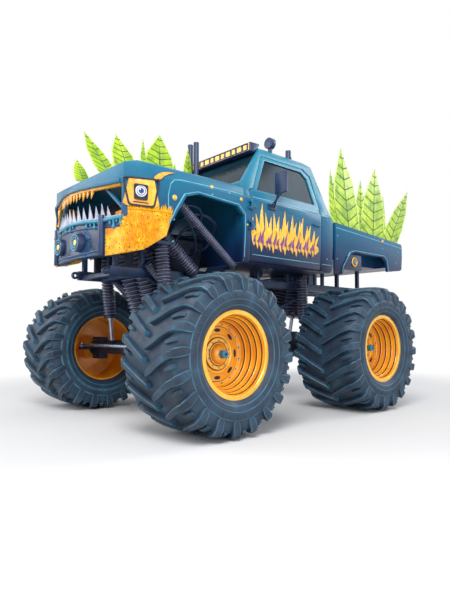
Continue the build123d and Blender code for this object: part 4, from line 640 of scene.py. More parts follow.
def add_bellows():
    for node, rows in (("bellows", bellows_rows), ("hoses", hose_rows)):
        parts = []
        for *ends, radius, pitch in rows:
            parts += strut_parts(lambda length: fold_part(length, radius, pitch), *ends)
        if node == "bellows":
            for ends in rod_rows:
                parts += strut_parts(rod_part, *ends)
        piece = add_piece(node + "_look", join(parts), "bellows_rubber_look pale_edge bright_steel",
                          50)
        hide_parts(node)


# Body panels: node, body, bevel.
panel_nodes = [
    ("cab_shell", "chassis", 0.014), ("front_clip", "chassis", 0.012), ("bed_shell", "chassis", 0.014),
    ("tailgate", "tailgate", 0.008), ("door_left", "door_left", 0.01), ("door_right", "door_right", 0.01),
]
steel_nodes = [
    "frame_rails", "frame_crossbars", "body_mounts", "frame_diagonals", "link_brackets", "shock_towers",
    "roll_cage",
]
# Other nodes of the chassis that keep their form: node, material, slot, bevel.
dressed_nodes = [
    ("front_axle", "dark_iron", "axle_blue", 0.008), ("rear_axle", "dark_iron", "axle_blue", 0.008),
    ("suspension_links", "frame_steel", "axle_blue", 0.006), ("engine", "dark_iron", "engine_iron", 0.02),
    ("gearbox", "dark_iron", "case_metal", 0.015), ("transfer_case", "dark_iron", "case_metal", 0.015),
    ("radiator", "dark_iron", "radiator_metal", 0.004),
    ("driver_seat", "seat_vinyl_look", "seat_vinyl", 0.04),
    ("dashboard", "seat_vinyl_look", "dash_plastic", 0.012), ("lower_jaw", "jaw_fur", "jaw_yellow", 0.03),
    ("front_bumper", "navy_paint", "bumper_navy", 0.014), ("light_bar", "navy_paint", "bar_gold", 0.014),
    ("exhaust_stacks", "navy_paint", "stack_dark", 0.003), ("roof_lamps", "navy_paint", "lamp_blue", 0.01),
    ("marker_pods", "navy_paint", "pod_blue", 0.02),
    ("upper_teeth", "fang_orange_look", "fang_orange", 0.003),
    ("lower_teeth", "tooth_white", "tooth_grey", 0.003),
    ("headlamps", "fang_orange_look", "lamp_orange", 0.008),
]
panel_segments = 3
steel_bevel = 0.005
mirror_bevel = 0.008
knuckle_bevel = 0.006
tie_rod_bevel = 0.003


def add_panels():
    for node, body, bevel in panel_nodes:
        dress(node, "body_paint", body, bevel, panel_segments)
    for node in steel_nodes:
        dress(node, "frame_steel", "chassis", steel_bevel)
    for node, material, slot, bevel in dressed_nodes:
        dress(node, material, "chassis", bevel)
    for side in ("left", "right"):
        dress("mirror_" + side, "navy_paint", "door_" + side, mirror_bevel)
    for name, front, left in corners:
        dress("knuckle_" + name, "dark_iron", "knuckle_" + name, knuckle_bevel)
    for end in ("front", "rear"):
        dress("tie_rod_" + end, "bright_steel", "tie_rod_" + end, tie_rod_bevel)
    paint_node("drive_shafts", "bright_steel")
    for node in ("cab_glass", "door_glass_left", "door_glass_right"):
        paint_node(node, "window_film")


# Crest leaves

leaf_thickness = 0.03
leaf_thinning_share = 0.5
leaf_teeth = 7
tooth_share = 0.07
smooth_foot_share = 0.12
vein_pairs = 8
vein_slant_share = 0.17
vein_depth_share = 0.8
# Rows of faces between two veins: start as a share of the pitch, 1 for the vein's own row.
vein_row_shares = [(0.0, 1), (0.13, 0), (0.42, 0), (0.71, 0)]
# Lines along a leaf from its rib to its edge: share of the half width, share of the thickness there.
leaf_line_shares = [
    (0.0, 1.0), (0.035, 0.94), (0.06, 0.72), (0.25, 0.66), (0.5, 0.56), (0.75, 0.4), (0.9, 0.26),
    (1.0, 0.1),
]
leaf_lines = [(-s, thick) for s, thick in reversed(leaf_line_shares[1:])] + leaf_line_shares
# Edge of a leaf: share of its height, half width as a share of its root's.
leaf_edge_shares = [(0.0, 1.0), (0.3, 1.04), (0.62, 0.77), (1.0, 0.0)]
# Leaves: root front x, root rear x, tip x as shares of the length; tip height as a share of the crest's.
hood_leaf_shares = [
    (0.96, 0.86, 0.955, 0.125), (0.78, 0.63, 0.91, 0.64), (0.66, 0.46, 0.683, 0.757),
    (0.49, 0.43, 0.473, 0.824), (0.47, 0.2, 0.333, 1.0), (0.24, 0.19, 0.2, 0.507),
    (0.13, 0.045, 0.08, 0.912),
]
bed_leaf_shares = [
    (0.99, 0.84, 1.0, 0.669), (0.93, 0.6, 0.86, 1.0), (0.68, 0.5, 0.58, 0.669), (0.6, 0.24, 0.36, 0.901),
    (0.3, 0.2, 0.23, 0.562), (0.3, 0.03, -0.2, 0.752),
]
hood_crest_height = 0.68
bed_crest_height = 1.21
bed_leaf_y = 0.9
bed_leaf_stagger = 0.006
hood_leaf_sink = 0.004
bed_leaf_sink = 0.06
bed_rail_shares = (0.845, 0.155)
# The hood's ridge: share of the front's length, height over the sill as a share of the front's.
hood_ridge_shares = [
    (0.0, 1.0), (0.3, 1.0), (0.54, 0.985), (0.76, 0.935), (0.88, 0.885), (0.985, 0.77), (1.0, 0.685),
]


def along_shares(rows, share):
    """The value at a share along rows of (share, value)."""
    for (s0, t0), (s1, t1) in zip(rows, rows[1:]):
        if s0 <= share <= s1:
            return t0 + (t1 - t0) * (share - s0) / (s1 - s0)
    return rows[-1][1]


def leaf_rows():
    """Starts of the rows of faces at the rib, as shares of the leaf's height, with 1 for a vein's row."""
    rows = [((k + part) / vein_pairs, vein) for k in range(-2, vein_pairs) for part, vein in vein_row_shares]
    return rows + [(1.0, 0)]


def leaf_side(side, root, tip, half, y):
    """Vertices of one side of a leaf, row by row."""
    verts = []
    for start, vein in leaf_rows():
        for s, thick in leaf_lines:
            t = min(max(start + vein_slant_share * abs(s) * (1 - start), 0.0), 1.0)
            tooth = tooth_share * (0.5 - (t * leaf_teeth) % 1.0) * (t > smooth_foot_share)
            wide = half * along_shares(leaf_edge_shares, t) * (1 + tooth)
            depth = thick * (vein_depth_share if vein else 1.0) * (1 - leaf_thinning_share * t)
            verts.append((root[0] + (tip[0] - root[0]) * t + s * wide, y + side * leaf_thickness / 2 * depth,
                          root[1] + (tip[1] - root[1]) * t))
    return verts


def leaf_part(root_front, root_rear, tip, y):
    """A leaf with a raised rib, slanted veins, a pale rim and small teeth on its edge."""
    root = ((root_front[0] + root_rear[0]) / 2, (root_front[1] + root_rear[1]) / 2)
    half = (root_front[0] - root_rear[0]) / 2
    rows, count = leaf_rows(), len(leaf_lines)
    verts, faces, tags = [], [], []
    for side in (1, -1):
        base = len(verts)
        verts += leaf_side(side, root, tip, half, y)
        for i in range(len(rows) - 1):
            for j in range(count - 1):
                reach = max(abs(leaf_lines[j][0]), abs(leaf_lines[j + 1][0]))
                if rows[i + 1][0] + vein_slant_share * reach <= 0:
                    continue
                face = tuple(base + n for n in quad(i, j, i + 1, j + 1, count))
                faces.append(face if side == -1 else tuple(reversed(face)))
                tags.append(leaf_tag(rows[i][1], j, count))
    return verts, faces, tags


def leaf_tag(vein, j, count):
    """0 for the blade, 1 for a vein or the rib and 2 for the rim."""
    out = abs(j - (count - 2) / 2)
    if out > count / 2 - 2:
        return 2
    return 1 if vein or out < 1 else 0


def hood_line(share):
    height = along_shares(hood_ridge_shares, share) * (hood_height - sill_height)
    return sill_height + height - hood_leaf_sink


def bed_line(share):
    low, rise = bed_rail_shares
    return sill_height + bed_height * (low + rise * share) - bed_leaf_sink


def crest_leaf(shares, rear_x, length, line, base, height, y):
    """A leaf of a crest that starts at rear_x, with its root on a line and its tip over a base height."""
    front, rear, tip, rise = shares
    spots = [place(rear_x + s * length, 0, line(s)) for s in (front, rear)]
    spots.append(place(rear_x + tip * length, 0, base + rise * height))
    return leaf_part(*[(spot.x, spot.z) for spot in spots], y)


def add_leaves():
    add_crest("crest_hood", [
        crest_leaf(shares, firewall_x, front_length, hood_line, hood_height, hood_crest_height, 0)
        for shares in hood_leaf_shares])
    bed = []
    for k, shares in enumerate(bed_leaf_shares):
        for side in (1, -1):
            y = side * (bed_leaf_y + bed_leaf_stagger * (k % 2))
            bed.append(crest_leaf(shares, bed_rear_x, bed_length, bed_line, sill_height + bed_height,
                                  bed_crest_height, y))
    add_crest("crest_bed", bed)


def add_crest(node, parts):
    mesh = mesh_of(node + "_shape", *join(parts))
    edit_mesh(mesh, drop_slivers)
    piece = to_object(node + "_leaves", mesh, "leaf_skin leaf_vein leaf_rim", "chassis", 60)
    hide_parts(node)


# Paint work, painted highlights and trim on the sides

# Half width of the body's side by height.
side_rows = [
    (1.93, 0.93575), (1.977, 0.960375), (2.3436, 0.985), (2.7384, 0.985), (2.7901, 0.95545),
    (2.87, 0.940675),
]
ribbon_step = 0.06
ribbon_sink = 0.002
ribbon_flat_share = 0.7


def side_y(z):
    return along_shares(side_rows, max(z, sill_height))


def split_line(points, widths):
    """The line's points and half widths with more between them, a step apart."""
    rows = [(points[0], widths[0])]
    for k in range(len(points) - 1):
        (x0, z0), (x1, z1) = points[k], points[k + 1]
        count = max(1, round(math.hypot(x1 - x0, z1 - z0) / ribbon_step))
        for n in range(1, count + 1):
            t = n / count
            half = widths[k] + (widths[k + 1] - widths[k]) * t
            rows.append(((x0 + (x1 - x0) * t, z0 + (z1 - z0) * t), half))
    return [row[0] for row in rows], [row[1] for row in rows]


def ribbon(points, widths, lift):
    """A strip that lies on the body's left side, through (x, z) points with a half width at each."""
    points, widths = split_line(points, widths)
    last = len(points) - 1
    verts, faces = [], []
    for k, (x, z) in enumerate(points):
        x0, z0 = points[max(k - 1, 0)]
        x1, z1 = points[min(k + 1, last)]
        way = Vector((x1 - x0, z1 - z0)).normalized()
        across = Vector((-way.y, way.x)) * widths[k]
        for share, rise in ((-1.0, -ribbon_sink), (-ribbon_flat_share, lift), (ribbon_flat_share, lift),
                            (1.0, -ribbon_sink)):
            px, pz = x + share * across.x, z + share * across.y
            verts.append(tuple(place(px, side_y(pz) + rise, pz)))
    for k in range(last):
        faces += [quad(k, j, k + 1, j + 1, 4) for j in range(3)]
    faces.append((0, 1, 2, 3))
    faces.append(tuple(reversed(range(4 * last, 4 * last + 4))))
    return verts, faces, [0] * len(faces)


def curve_points(start, bend, end, steps):
    """Points along a bent line from start to end."""
    points = []
    for k in range(steps + 1):
        t = k / steps
        shares = ((1 - t) ** 2, 2 * t * (1 - t), t * t)
        points.append(tuple(sum(s * v for s, v in zip(shares, values)) for values in zip(start, bend, end)))
    return points


# Flame tongues on the door: foot x, foot z, tip x, tip z, half width at the foot.
flame_rows = [
    (0.3, 2.245, 0.342, 2.51, 0.04), (0.235, 2.235, 0.29, 2.56, 0.048), (0.16, 2.225, 0.168, 2.71, 0.06),
    (0.08, 2.23, 0.115, 2.6, 0.05), (0.01, 2.235, 0.000, 2.56, 0.048), (-0.06, 2.225, -0.045, 2.62, 0.052),
    (-0.13, 2.23, -0.15, 2.59, 0.046), (-0.205, 2.225, -0.265, 2.687, 0.062),
    (-0.29, 2.23, -0.33, 2.56, 0.048), (-0.36, 2.225, -0.422, 2.644, 0.058),
    (-0.44, 2.23, -0.5, 2.555, 0.048), (-0.52, 2.228, -0.575, 2.59, 0.05),
    (-0.59, 2.225, -0.646, 2.639, 0.056), (-0.67, 2.232, -0.735, 2.54, 0.048),
    (-0.745, 2.235, -0.81, 2.56, 0.048), (-0.82, 2.24, -0.892, 2.493, 0.046),
    (-0.885, 2.24, -0.99, 2.43, 0.04),
]
flame_low = 2.15
flame_steps = 9
flame_sway = 0.03
flame_tip = 0.0008
# The band that the flames grow from: front end, pitch of its points, height, half width, lift.
band_x, band_pitch, band_z, band_half, band_lift = 0.33, 0.055, 2.235, 0.07, 0.0045
band_end_half = 0.03
band_steps = 24


def flame_tongue(foot, tip, half, lift, sway):
    bend = ((foot[0] + tip[0]) / 2 + sway, (foot[1] + tip[1]) / 2)
    shares = [k / flame_steps for k in range(flame_steps + 1)]
    widths = [half * (1 - t) ** 0.8 * (1 + 0.25 * math.sin(math.pi * t)) + flame_tip for t in shares]
    return ribbon(curve_points(foot, bend, tip, flame_steps), widths, lift)


def flame_tongues(k, x, z, tip_x, tip_z, half):
    """The yellow and the purple tongues of a flame, each as foot, tip, half width, lift and sway."""
    sway = flame_sway * (-1) ** k
    low = flame_low
    yellow = [
        ((x, z - 0.05), (tip_x, tip_z), half, 0.005, sway),
        ((x - 0.03, z), (x + 0.03, z + 0.45 * (tip_z - z)), 0.7 * half, 0.0056, -sway),
        ((x + 0.02, low + 0.06), (x + 0.01, low - 0.03 * (k % 3)), 0.5 * half, 0.0053, 0),
    ]
    purple = [
        ((x + 0.012, low + 0.05), (x - 0.03, z + 0.07 + 0.05 * (k % 3)), 0.62 * half, 0.0064, sway),
        ((x, low + 0.09), (x - 0.01, low + 0.01 - 0.02 * (k % 4)), 0.42 * half, 0.006, 0),
    ]
    return yellow, purple


def flame_band():
    points = [(band_x - band_pitch * k, band_z + 0.018 * math.sin(2.1 * k)) for k in range(band_steps + 1)]
    widths = [band_half + 0.014 * math.cos(1.7 * k) for k in range(band_steps + 1)]
    widths[0] = widths[-1] = band_end_half
    return ribbon(points, widths, band_lift)


def add_flames():
    yellow, purple = [flame_band()], []
    for k, row in enumerate(flame_rows):
        for parts, tongues in zip((yellow, purple), flame_tongues(k, *row)):
            parts += [flame_tongue(*tongue) for tongue in tongues]
    for side, turned in (("left", join), ("right", lambda parts: flipped(join(parts)))):
        for parts, kind in ((yellow, "yellow"), (purple, "purple")):
            add_piece("flames_" + kind + "_" + side, turned(parts), "flame_" + kind,
                      body="door_" + side)


# Painted highlights along the crease lines and shut lines: body, half width, lift and the line's (x, z)
# points.
crease_rows = [
    ("chassis", 0.0075, 0.004, [(0.5, 2.776), (1.000, 2.772), (1.45, 2.764), (1.56, 2.742), (1.61, 2.69)]),
    ("chassis", 0.006, 0.004, [(1.61, 2.69), (1.64, 2.56), (1.64, 2.44), (1.6, 2.392)]),
    ("chassis", 0.0075, 0.004, [(-3.3, 2.5), (-2.6, 2.545), (-1.9, 2.59), (-1.42, 2.615)]),
    ("chassis", 0.006, 0.004, [(-1.12, 2.786), (-1.29, 2.77)]),
    ("door_left", 0.0075, 0.004, [(0.33, 2.776), (-0.3, 2.78), (-1.02, 2.782)]),
    ("door_left", 0.005, 0.003, [(0.33, 2.04), (-0.3, 2.036), (-1.02, 2.036)]),
    ("chassis", 0.005, 0.003, [(-1.09, 2.036), (-1.31, 2.036)]),
]


def crease_part(body):
    return join([ribbon(points, [half] * len(points), lift) for owner, half, lift, points in crease_rows
                 if owner == body])


def add_creases():
    add_piece("crease_chassis", both_sides(crease_part("chassis")), "pale_highlight")
    left = crease_part("door_left")
    for side, part in (("left", left), ("right", flipped(left))):
        add_piece("crease_door_" + side, part, "pale_highlight", body="door_" + side)


knob_steps = 5
knob_sides = 16
knob_tip = 0.0006


def knob(radius, height):
    """A low dome on a collar, about the Y axis from y = 0."""
    collar, base = radius * 1.25, 0.25 * height
    rows = [(collar, -ribbon_sink, 1), (collar, 0.15 * height, 1), (radius * 1.05, base, 1)]
    return lathe(rows + dome_rows(radius, base, 0.75 * height, knob_steps, knob_tip), knob_sides)


# Studs and rivets on the left side: x, z, radius.
stud_rows = [
    (1.557, 2.543, 0.03), (1.009, 2.769, 0.024), (0.542, 2.7, 0.024), (0.434, 2.399, 0.014),
    (-2.693, 2.554, 0.026),
]
rivet_rows = [
    (1.618, 2.425, 0.01), (1.009, 2.677, 0.01), (-3.192, 2.434, 0.01), (-3.119, 2.233, 0.01),
    (-2.697, 2.43, 0.01), (0.741, 2.742, 0.012), (1.56, 2.06, 0.01), (1.56, 2.3, 0.01), (-1.45, 2.5, 0.01),
    (-1.45, 2.15, 0.01), (-1.2, 2.12, 0.01), (-1.2, 2.7, 0.01),
]
knob_height_share = 0.6


def add_studs():
    # The rivets' domes carry the pale painted highlight.
    for rows, material, name in ((stud_rows, "gold_stud", "studs"), (rivet_rows, "pale_highlight", "rivets")):
        parts = []
        for x, z, radius in rows:
            spot = Matrix.Translation(place(x, side_y(z), z))
            parts.append(moved(knob(radius, knob_height_share * radius), spot))
        add_piece(name, both_sides(join(parts)), material + " trim_blue", 50)


# Face

cheek_start = (1.7348, 0.985)
cheek_end = (2.1161, 0.8422)
lamp_centre_share = 0.5366
lamp_z = 2.545


def cheek_frame(share, z):
    """Turns a part made about the Y axis to stand on the left cheek, with X toward the nose."""
    ahead = Vector((cheek_end[0] - cheek_start[0], cheek_end[1] - cheek_start[1], 0)).normalized()
    up = Vector((0, 0, 1))
    x = cheek_start[0] + (cheek_end[0] - cheek_start[0]) * share
    y = cheek_start[1] + (cheek_end[1] - cheek_start[1]) * share
    turn = Matrix((ahead, up.cross(ahead), up)).transposed().to_4x4()
    return Matrix.Translation(place(x, y, z)) @ turn


def plate_part(points, low, high, tag=0):
    """A flat plate from an outline of (x, z) points, between two heights along Y."""
    count = len(points)
    verts = [(x, low, z) for x, z in points] + [(x, high, z) for x, z in points]
    faces = [tuple(range(count)), tuple(reversed(range(count, 2 * count)))]
    faces += [(k, count + k, count + (k + 1) % count, (k + 1) % count) for k in range(count)]
    return verts, faces, [tag] * len(faces)


def frame_part(points, wide, low, high, tag=0):
    """A frame that follows a closed outline, wide inward, between two heights along Y."""
    cx = sum(x for x, z in points) / len(points)
    cz = sum(z for x, z in points) / len(points)
    inner = []
    for x, z in points:
        share = 1 - wide / math.hypot(x - cx, z - cz)
        inner.append((cx + (x - cx) * share, cz + (z - cz) * share))
    count = len(points)
    verts = []
    for outline, y in ((points, low), (points, high), (inner, high), (inner, low)):
        verts += [(x, y, z) for x, z in outline]
    faces = [quad(ring, k, (ring + 1) % 4, (k + 1) % count, count) for k in range(count) for ring in range(4)]
    return verts, faces, [tag] * len(faces)


def rounded(points, radius, steps=4):
    """An outline with its corners rounded."""
    out = []
    for k, point in enumerate(points):
        before, here, after = Vector(points[k - 1]), Vector(point), Vector(points[(k + 1) % len(points)])
        start = here + (before - here).normalized() * radius
        end = here + (after - here).normalized() * radius
        out += curve_points(start, here, end, steps)
    return out


disc_rim_share = 0.3
disc_top_share = 0.93
disc_sides = 32
lens_tip = 0.0005
# Outlines round the lamp's centre: the dark edge, the square housing and the groove below it, whose shade is
# painted as a dark red plate.
lamp_outline = [
    (-0.14, -0.15), (0.133, -0.141), (0.195, 0.126), (0.156, 0.15), (-0.172, 0.15), (-0.195, 0.12),
]
housing_outline = [(-0.066, -0.085), (0.078, -0.078), (0.082, 0.088), (-0.072, 0.08)]
groove_outline = [(-0.078, -0.106), (0.085, -0.098), (0.088, -0.112), (-0.08, -0.12)]
lamp_corner, housing_corner, groove_corner = 0.035, 0.02, 0.005
lamp_growth = (1.045, 1.06)
# Discs of the lens and its painted glint: centre x and z, radius, low and high along Y, tag.
lens_rows = [
    (0.004, 0.012, 0.062, 0.018, 0.026, 2), (0.004, 0.012, 0.049, 0.02, 0.029, 1),
    (0.004, 0.012, 0.043, 0.022, 0.032, 2), (0.004, 0.012, 0.03, 0.024, 0.036, 3),
    (0.004, 0.012, 0.013, 0.026, 0.039, 0), (0.016, 0.026, 0.008, 0.03, 0.0405, 2),
]


def disc_part(radius, low, high, tag):
    rim = high - disc_rim_share * (high - low)
    return lathe([(radius, low, tag), (radius, rim, tag), (disc_top_share * radius, high, tag),
                  (lens_tip, high, tag)], disc_sides)


def eye_part():
    """The lamp's dark outline, its square housing, the ringed lens with its painted glint, and a dark red
    plate of painted shade for the groove.
    """
    edge = [(x * lamp_growth[0], z * lamp_growth[1]) for x, z in rounded(lamp_outline, lamp_corner)]
    housing = rounded(housing_outline, housing_corner)
    groove = rounded(groove_outline, groove_corner, 2)
    parts = [frame_part(edge, wide=0.024, low=-0.002, high=0.02),
             frame_part(housing, wide=0.018, low=0.01, high=0.03, tag=1),
             plate_part(housing, low=0.008, high=0.02)]
    parts += [moved(disc_part(*disc), Matrix.Translation((x, 0, z))) for x, z, *disc in lens_rows]
    # A dark red plate: the groove's painted shade.
    parts.append(plate_part(groove, low=0.006, high=0.0165, tag=4))
    return moved(join(parts), cheek_frame(lamp_centre_share, lamp_z))


def add_eyes():
    add_piece("lamp_eye", both_sides(eye_part()), "shadow_line dark_iron white_ring eye_blue dark_red")


# Jaw

# The cheek's side view: x, z.
jaw_outline = [
    (1.586, 2.331), (1.6604, 2.109), (1.902, 1.941), (2.237, 1.867), (2.33, 1.877), (2.33, 2.278),
    (2.07, 2.278), (2.07, 2.373), (1.586, 2.373),
]
# Half width of the front by x, from the firewall to the nose.
plan_rows = [(0.47, 0.985), (1.7348, 0.985), (2.1161, 0.8422), (2.3021, 0.2167), (2.33, 0.0)]
tuft_seed = 11
tuft_count = 620
tuft_sink = 0.004
tuft_out = 0.35
yellow_share = 0.8
# Lowest and highest value of each random draw for a tuft.
tuft_x, tuft_z = (1.59, 2.125), (1.87, 2.37)
tuft_length, tuft_half = (0.03, 0.06), (0.006, 0.011)
tuft_ahead, tuft_up = (-0.2, 0.5), (0.5, 1.0)
# The row of longer tufts on the cheek's upper edge.
edge_count = 46
edge_start, edge_length, edge_z = 1.6, 0.47, 2.362
edge_lift, edge_half, edge_out = 0.002, 0.013, 0.008
edge_wander, edge_ahead, edge_up = (0, 0.8), (-0.03, 0.02), (0.05, 0.1)


def inside(points, x, z):
    """Whether a place lies within an outline."""
    within = False
    for (x0, z0), (x1, z1) in zip(points, points[1:] + points[:1]):
        if (z0 > z) != (z1 > z) and x < x0 + (x1 - x0) * (z - z0) / (z1 - z0):
            within = not within
    return within


def tuft(foot, tip, half, tag):
    """A thin three-sided spike."""
    way = (tip - foot).normalized()
    side = way.cross(Vector((0, 1, 0.2))).normalized()
    up = way.cross(side)
    turns = [k * math.tau / 3 for k in range(3)]
    ring = [foot + half * (side * math.cos(turn) + up * math.sin(turn)) for turn in turns]
    return [*ring, tip], [(0, 1, 3), (1, 2, 3), (2, 0, 3)], [tag] * 3


def add_jaw_fur():
    random.seed(tuft_seed)
    parts = []
    while len(parts) < tuft_count:
        x, z = random.uniform(*tuft_x), random.uniform(*tuft_z)
        if not inside(jaw_outline, x, z):
            continue
        foot = place(x, min(along_shares(plan_rows, x), side_y(z)) - tuft_sink, z)
        length = random.uniform(*tuft_length)
        lean = Vector((random.uniform(*tuft_ahead), tuft_out, random.uniform(*tuft_up))).normalized()
        half = random.uniform(*tuft_half)
        parts.append(tuft(foot, foot + lean * length, half, 0 if random.random() < yellow_share else 1))
    for k in range(edge_count):
        x = edge_start + edge_length * (k + random.uniform(*edge_wander)) / edge_count
        foot = place(x, along_shares(plan_rows, x) + edge_lift, edge_z)
        lean = Vector((random.uniform(*edge_ahead), edge_out, random.uniform(*edge_up)))
        parts.append(tuft(foot, foot + lean, edge_half, 0))
    add_piece("jaw_tufts", both_sides(join(parts)), "flame_yellow fang_orange_look", 30)


# Round lamps in the bumper and on the pods

front_lamp_spot = (2.3605, 0.22, 2.05)
front_lamp_sides = 48
# Radius and reach from the lamp's face, with 1 for the pale rings.
front_lamp_rows = [
    (0.0005, -0.11, 0), (0.098, -0.11, 0), (0.098, -0.01, 0), (0.093, 0.0, 1), (0.083, 0.0, 1),
    (0.08, -0.009, 0), (0.068, -0.009, 0), (0.065, 0.0, 1), (0.055, 0.0, 1), (0.052, -0.012, 0),
    (0.038, -0.012, 0), (0.034, -0.004, 2), (0.022, -0.0005, 2), (0.0005, 0.0, 2),
]
# Lamp of the pod in each rear arch: radius and reach from the pod's face, with 1 for the gold ring.
pod_lamp_rows = [
    (0.074, -0.004, 0), (0.074, 0.01, 1), (0.066, 0.018, 1), (0.054, 0.018, 1), (0.05, 0.008, 0),
    (0.04, 0.008, 0), (0.034, 0.014, 2), (0.018, 0.019, 2), (0.0005, 0.02, 2),
]
pod_lamp_spot = (-1.905, 0.9604, 2.14)
pod_lamp_sides = 40


def turned_forward(part, x, y, z):
    """A part made about the Y axis, turned to look toward the nose."""
    return moved(part, Matrix.Translation(place(x, y, z)) @ Matrix.Rotation(-math.pi / 2, 4, "Z"))


def add_front_lamps():
    x, y, z = front_lamp_spot
    ring = lathe(front_lamp_rows, front_lamp_sides)
    parts = [turned_forward(ring, x, side * y, z) for side in (1, -1)]
    piece = add_piece("front_lamp_rings", join(parts), "navy_paint trim_blue gold_stud")
    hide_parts("front_lamps")


def add_pod_lamps():
    left = moved(lathe(pod_lamp_rows, pod_lamp_sides), Matrix.Translation(place(*pod_lamp_spot)))
    add_piece("pod_lamps", both_sides(left), "navy_paint gold_stud trim_blue")


# Lip and carving on the front, along its plan

trim_steps = 28
lip_half = 0.842
lip_z = 2.268
lip_radius = 0.021
lip_sides = 12
lip_lift = 0.006
drip_lift = 0.008
drip_sides = 10
# Drips under the lip on each side: y, length, radius.
drip_rows = [
    (0.815, 0.085, 0.017), (0.765, 0.045, 0.013), (0.725, 0.11, 0.019), (0.672, 0.06, 0.014),
    (0.56, 0.075, 0.016), (0.505, 0.04, 0.012), (0.452, 0.09, 0.017), (0.395, 0.05, 0.013),
    (0.335, 0.07, 0.015), (0.105, 0.045, 0.013), (0.055, 0.08, 0.016),
]
# A drip from the lip down: share of its length, share of its radius.
drip_shares = [(0.0, 0.7), (0.25, 0.62), (0.55, 0.55), (0.78, 0.95), (0.92, 0.85), (1.0, 0.25)]
# Carved ribs of the bumper: height at the middle, height at its ends, radius.
rib_rows = [(2.205, 2.19, 0.011), (1.915, 1.95, 0.012), (1.885, 1.905, 0.008)]
rib_half = 0.555
rib_lift = 0.002
rib_sides = 8
# Arcs round the bumper's lamps: radii, stretch across, lift, radius, and angles in degrees.
arc_radii = (0.118, 0.14, 0.162)
arc_stretch, arc_lift, arc_radius = 1.05, 0.001, 0.0075
arc_first, arc_step, arc_points = -62, 12.4, 11


def front_spot(y, z, lift=0.0):
    """A place on the front's face at a signed y."""
    for (x0, y0), (x1, y1) in zip(plan_rows, plan_rows[1:]):
        if y1 <= abs(y) <= y0 and x1 > x0:
            x = x0 + (x1 - x0) * (y0 - abs(y)) / (y0 - y1)
            return place(x + lift, y, z)
    return place(plan_rows[-1][0] + lift, y, z)


def tube_part(path, radii, sides=10):
    """A round tube through points, closed at both ends, with a radius at each."""
    last = len(path) - 1
    verts, faces = [], []
    for k, spot in enumerate(path):
        way = (path[min(k + 1, last)] - path[max(k - 1, 0)]).normalized()
        side = way.cross(Vector((0, 0, 1)))
        side = side.normalized() if side.length > 0.05 else Vector((1, 0, 0))
        up = side.cross(way).normalized()
        for n in range(sides):
            turn = math.tau * n / sides
            verts.append(spot + radii[k] * (side * math.cos(turn) + up * math.sin(turn)))
    for k in range(last):
        faces += [quad(k, n, k + 1, (n + 1) % sides, sides) for n in range(sides)]
    faces.append(tuple(reversed(range(sides))))
    faces.append(tuple(range(last * sides, len(path) * sides)))
    return verts, faces, [0] * len(faces)


def even_tube(path, radius, sides):
    return tube_part(path, [radius] * len(path), sides)


def across(half):
    """Signed places across the truck, from one side to the other."""
    return [half * (-1 + 2 * k / trim_steps) for k in range(trim_steps + 1)]


def lip_parts():
    """The blue lip under the lower teeth, and its drips."""
    path = [front_spot(y, lip_z + 0.006 * math.sin(9 * y), lip_lift) for y in across(lip_half)]
    parts = [even_tube(path, lip_radius, lip_sides)]
    for side in (1, -1):
        for y, length, radius in drip_rows:
            path = [front_spot(side * y, lip_z - t * length, drip_lift) for t, wide in drip_shares]
            parts.append(tube_part(path, [wide * radius for t, wide in drip_shares], drip_sides))
    return parts


def rib_parts():
    """Ribs along the bumper and arcs round its lamps."""
    parts = []
    for middle, ends, radius in rib_rows:
        path = [front_spot(y, middle + (ends - middle) * (y / rib_half) ** 2, rib_lift)
                for y in across(rib_half)]
        parts.append(even_tube(path, radius, rib_sides))
    x, y, z = front_lamp_spot
    angles = [math.radians(arc_first + arc_step * k) for k in range(arc_points)]
    for side in (1, -1):
        for reach in arc_radii:
            spots = [(y + reach * arc_stretch * math.cos(a), z + reach * math.sin(a)) for a in angles]
            path = [front_spot(side * py, pz, arc_lift) for py, pz in spots]
            parts.append(even_tube(path, arc_radius, rib_sides))
    return parts


def add_front_trim():
    add_piece("lip", join(lip_parts()), "trim_blue", 50)
    add_piece("bumper_ribs", join(rib_parts()), "navy_light", 50)


# Edges of the arches, traced by a painted highlight line: x share of the piece's length, z share of its
# height over the sill.
front_arch_shares = [
    (0.02, 0.02), (0.02, 0.54), (0.08, 0.64), (0.4, 0.675), (0.5, 0.62), (0.57, 0.42), (0.61, 0.3),
]
bed_arch_shares = [
    (0.245, 0.19), (0.275, 0.4), (0.32, 0.475), (0.74, 0.475), (0.8, 0.43), (0.89, 0.15), (0.895, 0.05),
]
arch_line_lift = 0.018
arch_line_half = 0.0065
arch_line_out = 0.024
arch_line_up = 0.022
arch_top_share = 0.3


def arch_line(shares, start, length, height):
    """A painted highlight line a little outside an arch's edge."""
    points = [(start + a * length, sill_height + b * height) for a, b in shares]
    middle = sum(x for x, z in points) / len(points)
    top = sill_height + arch_top_share * height
    points = [(x + math.copysign(arch_line_out, x - middle), z + (arch_line_up if z > top else 0))
              for x, z in points]
    return ribbon(points, [arch_line_half] * len(points), arch_line_lift)


def add_arch_lines():
    left = join([arch_line(front_arch_shares, firewall_x, front_length, hood_height - sill_height),
                 arch_line(bed_arch_shares, bed_rear_x, bed_length, bed_height)])
    add_piece("arch_lines", both_sides(left), "pale_highlight")


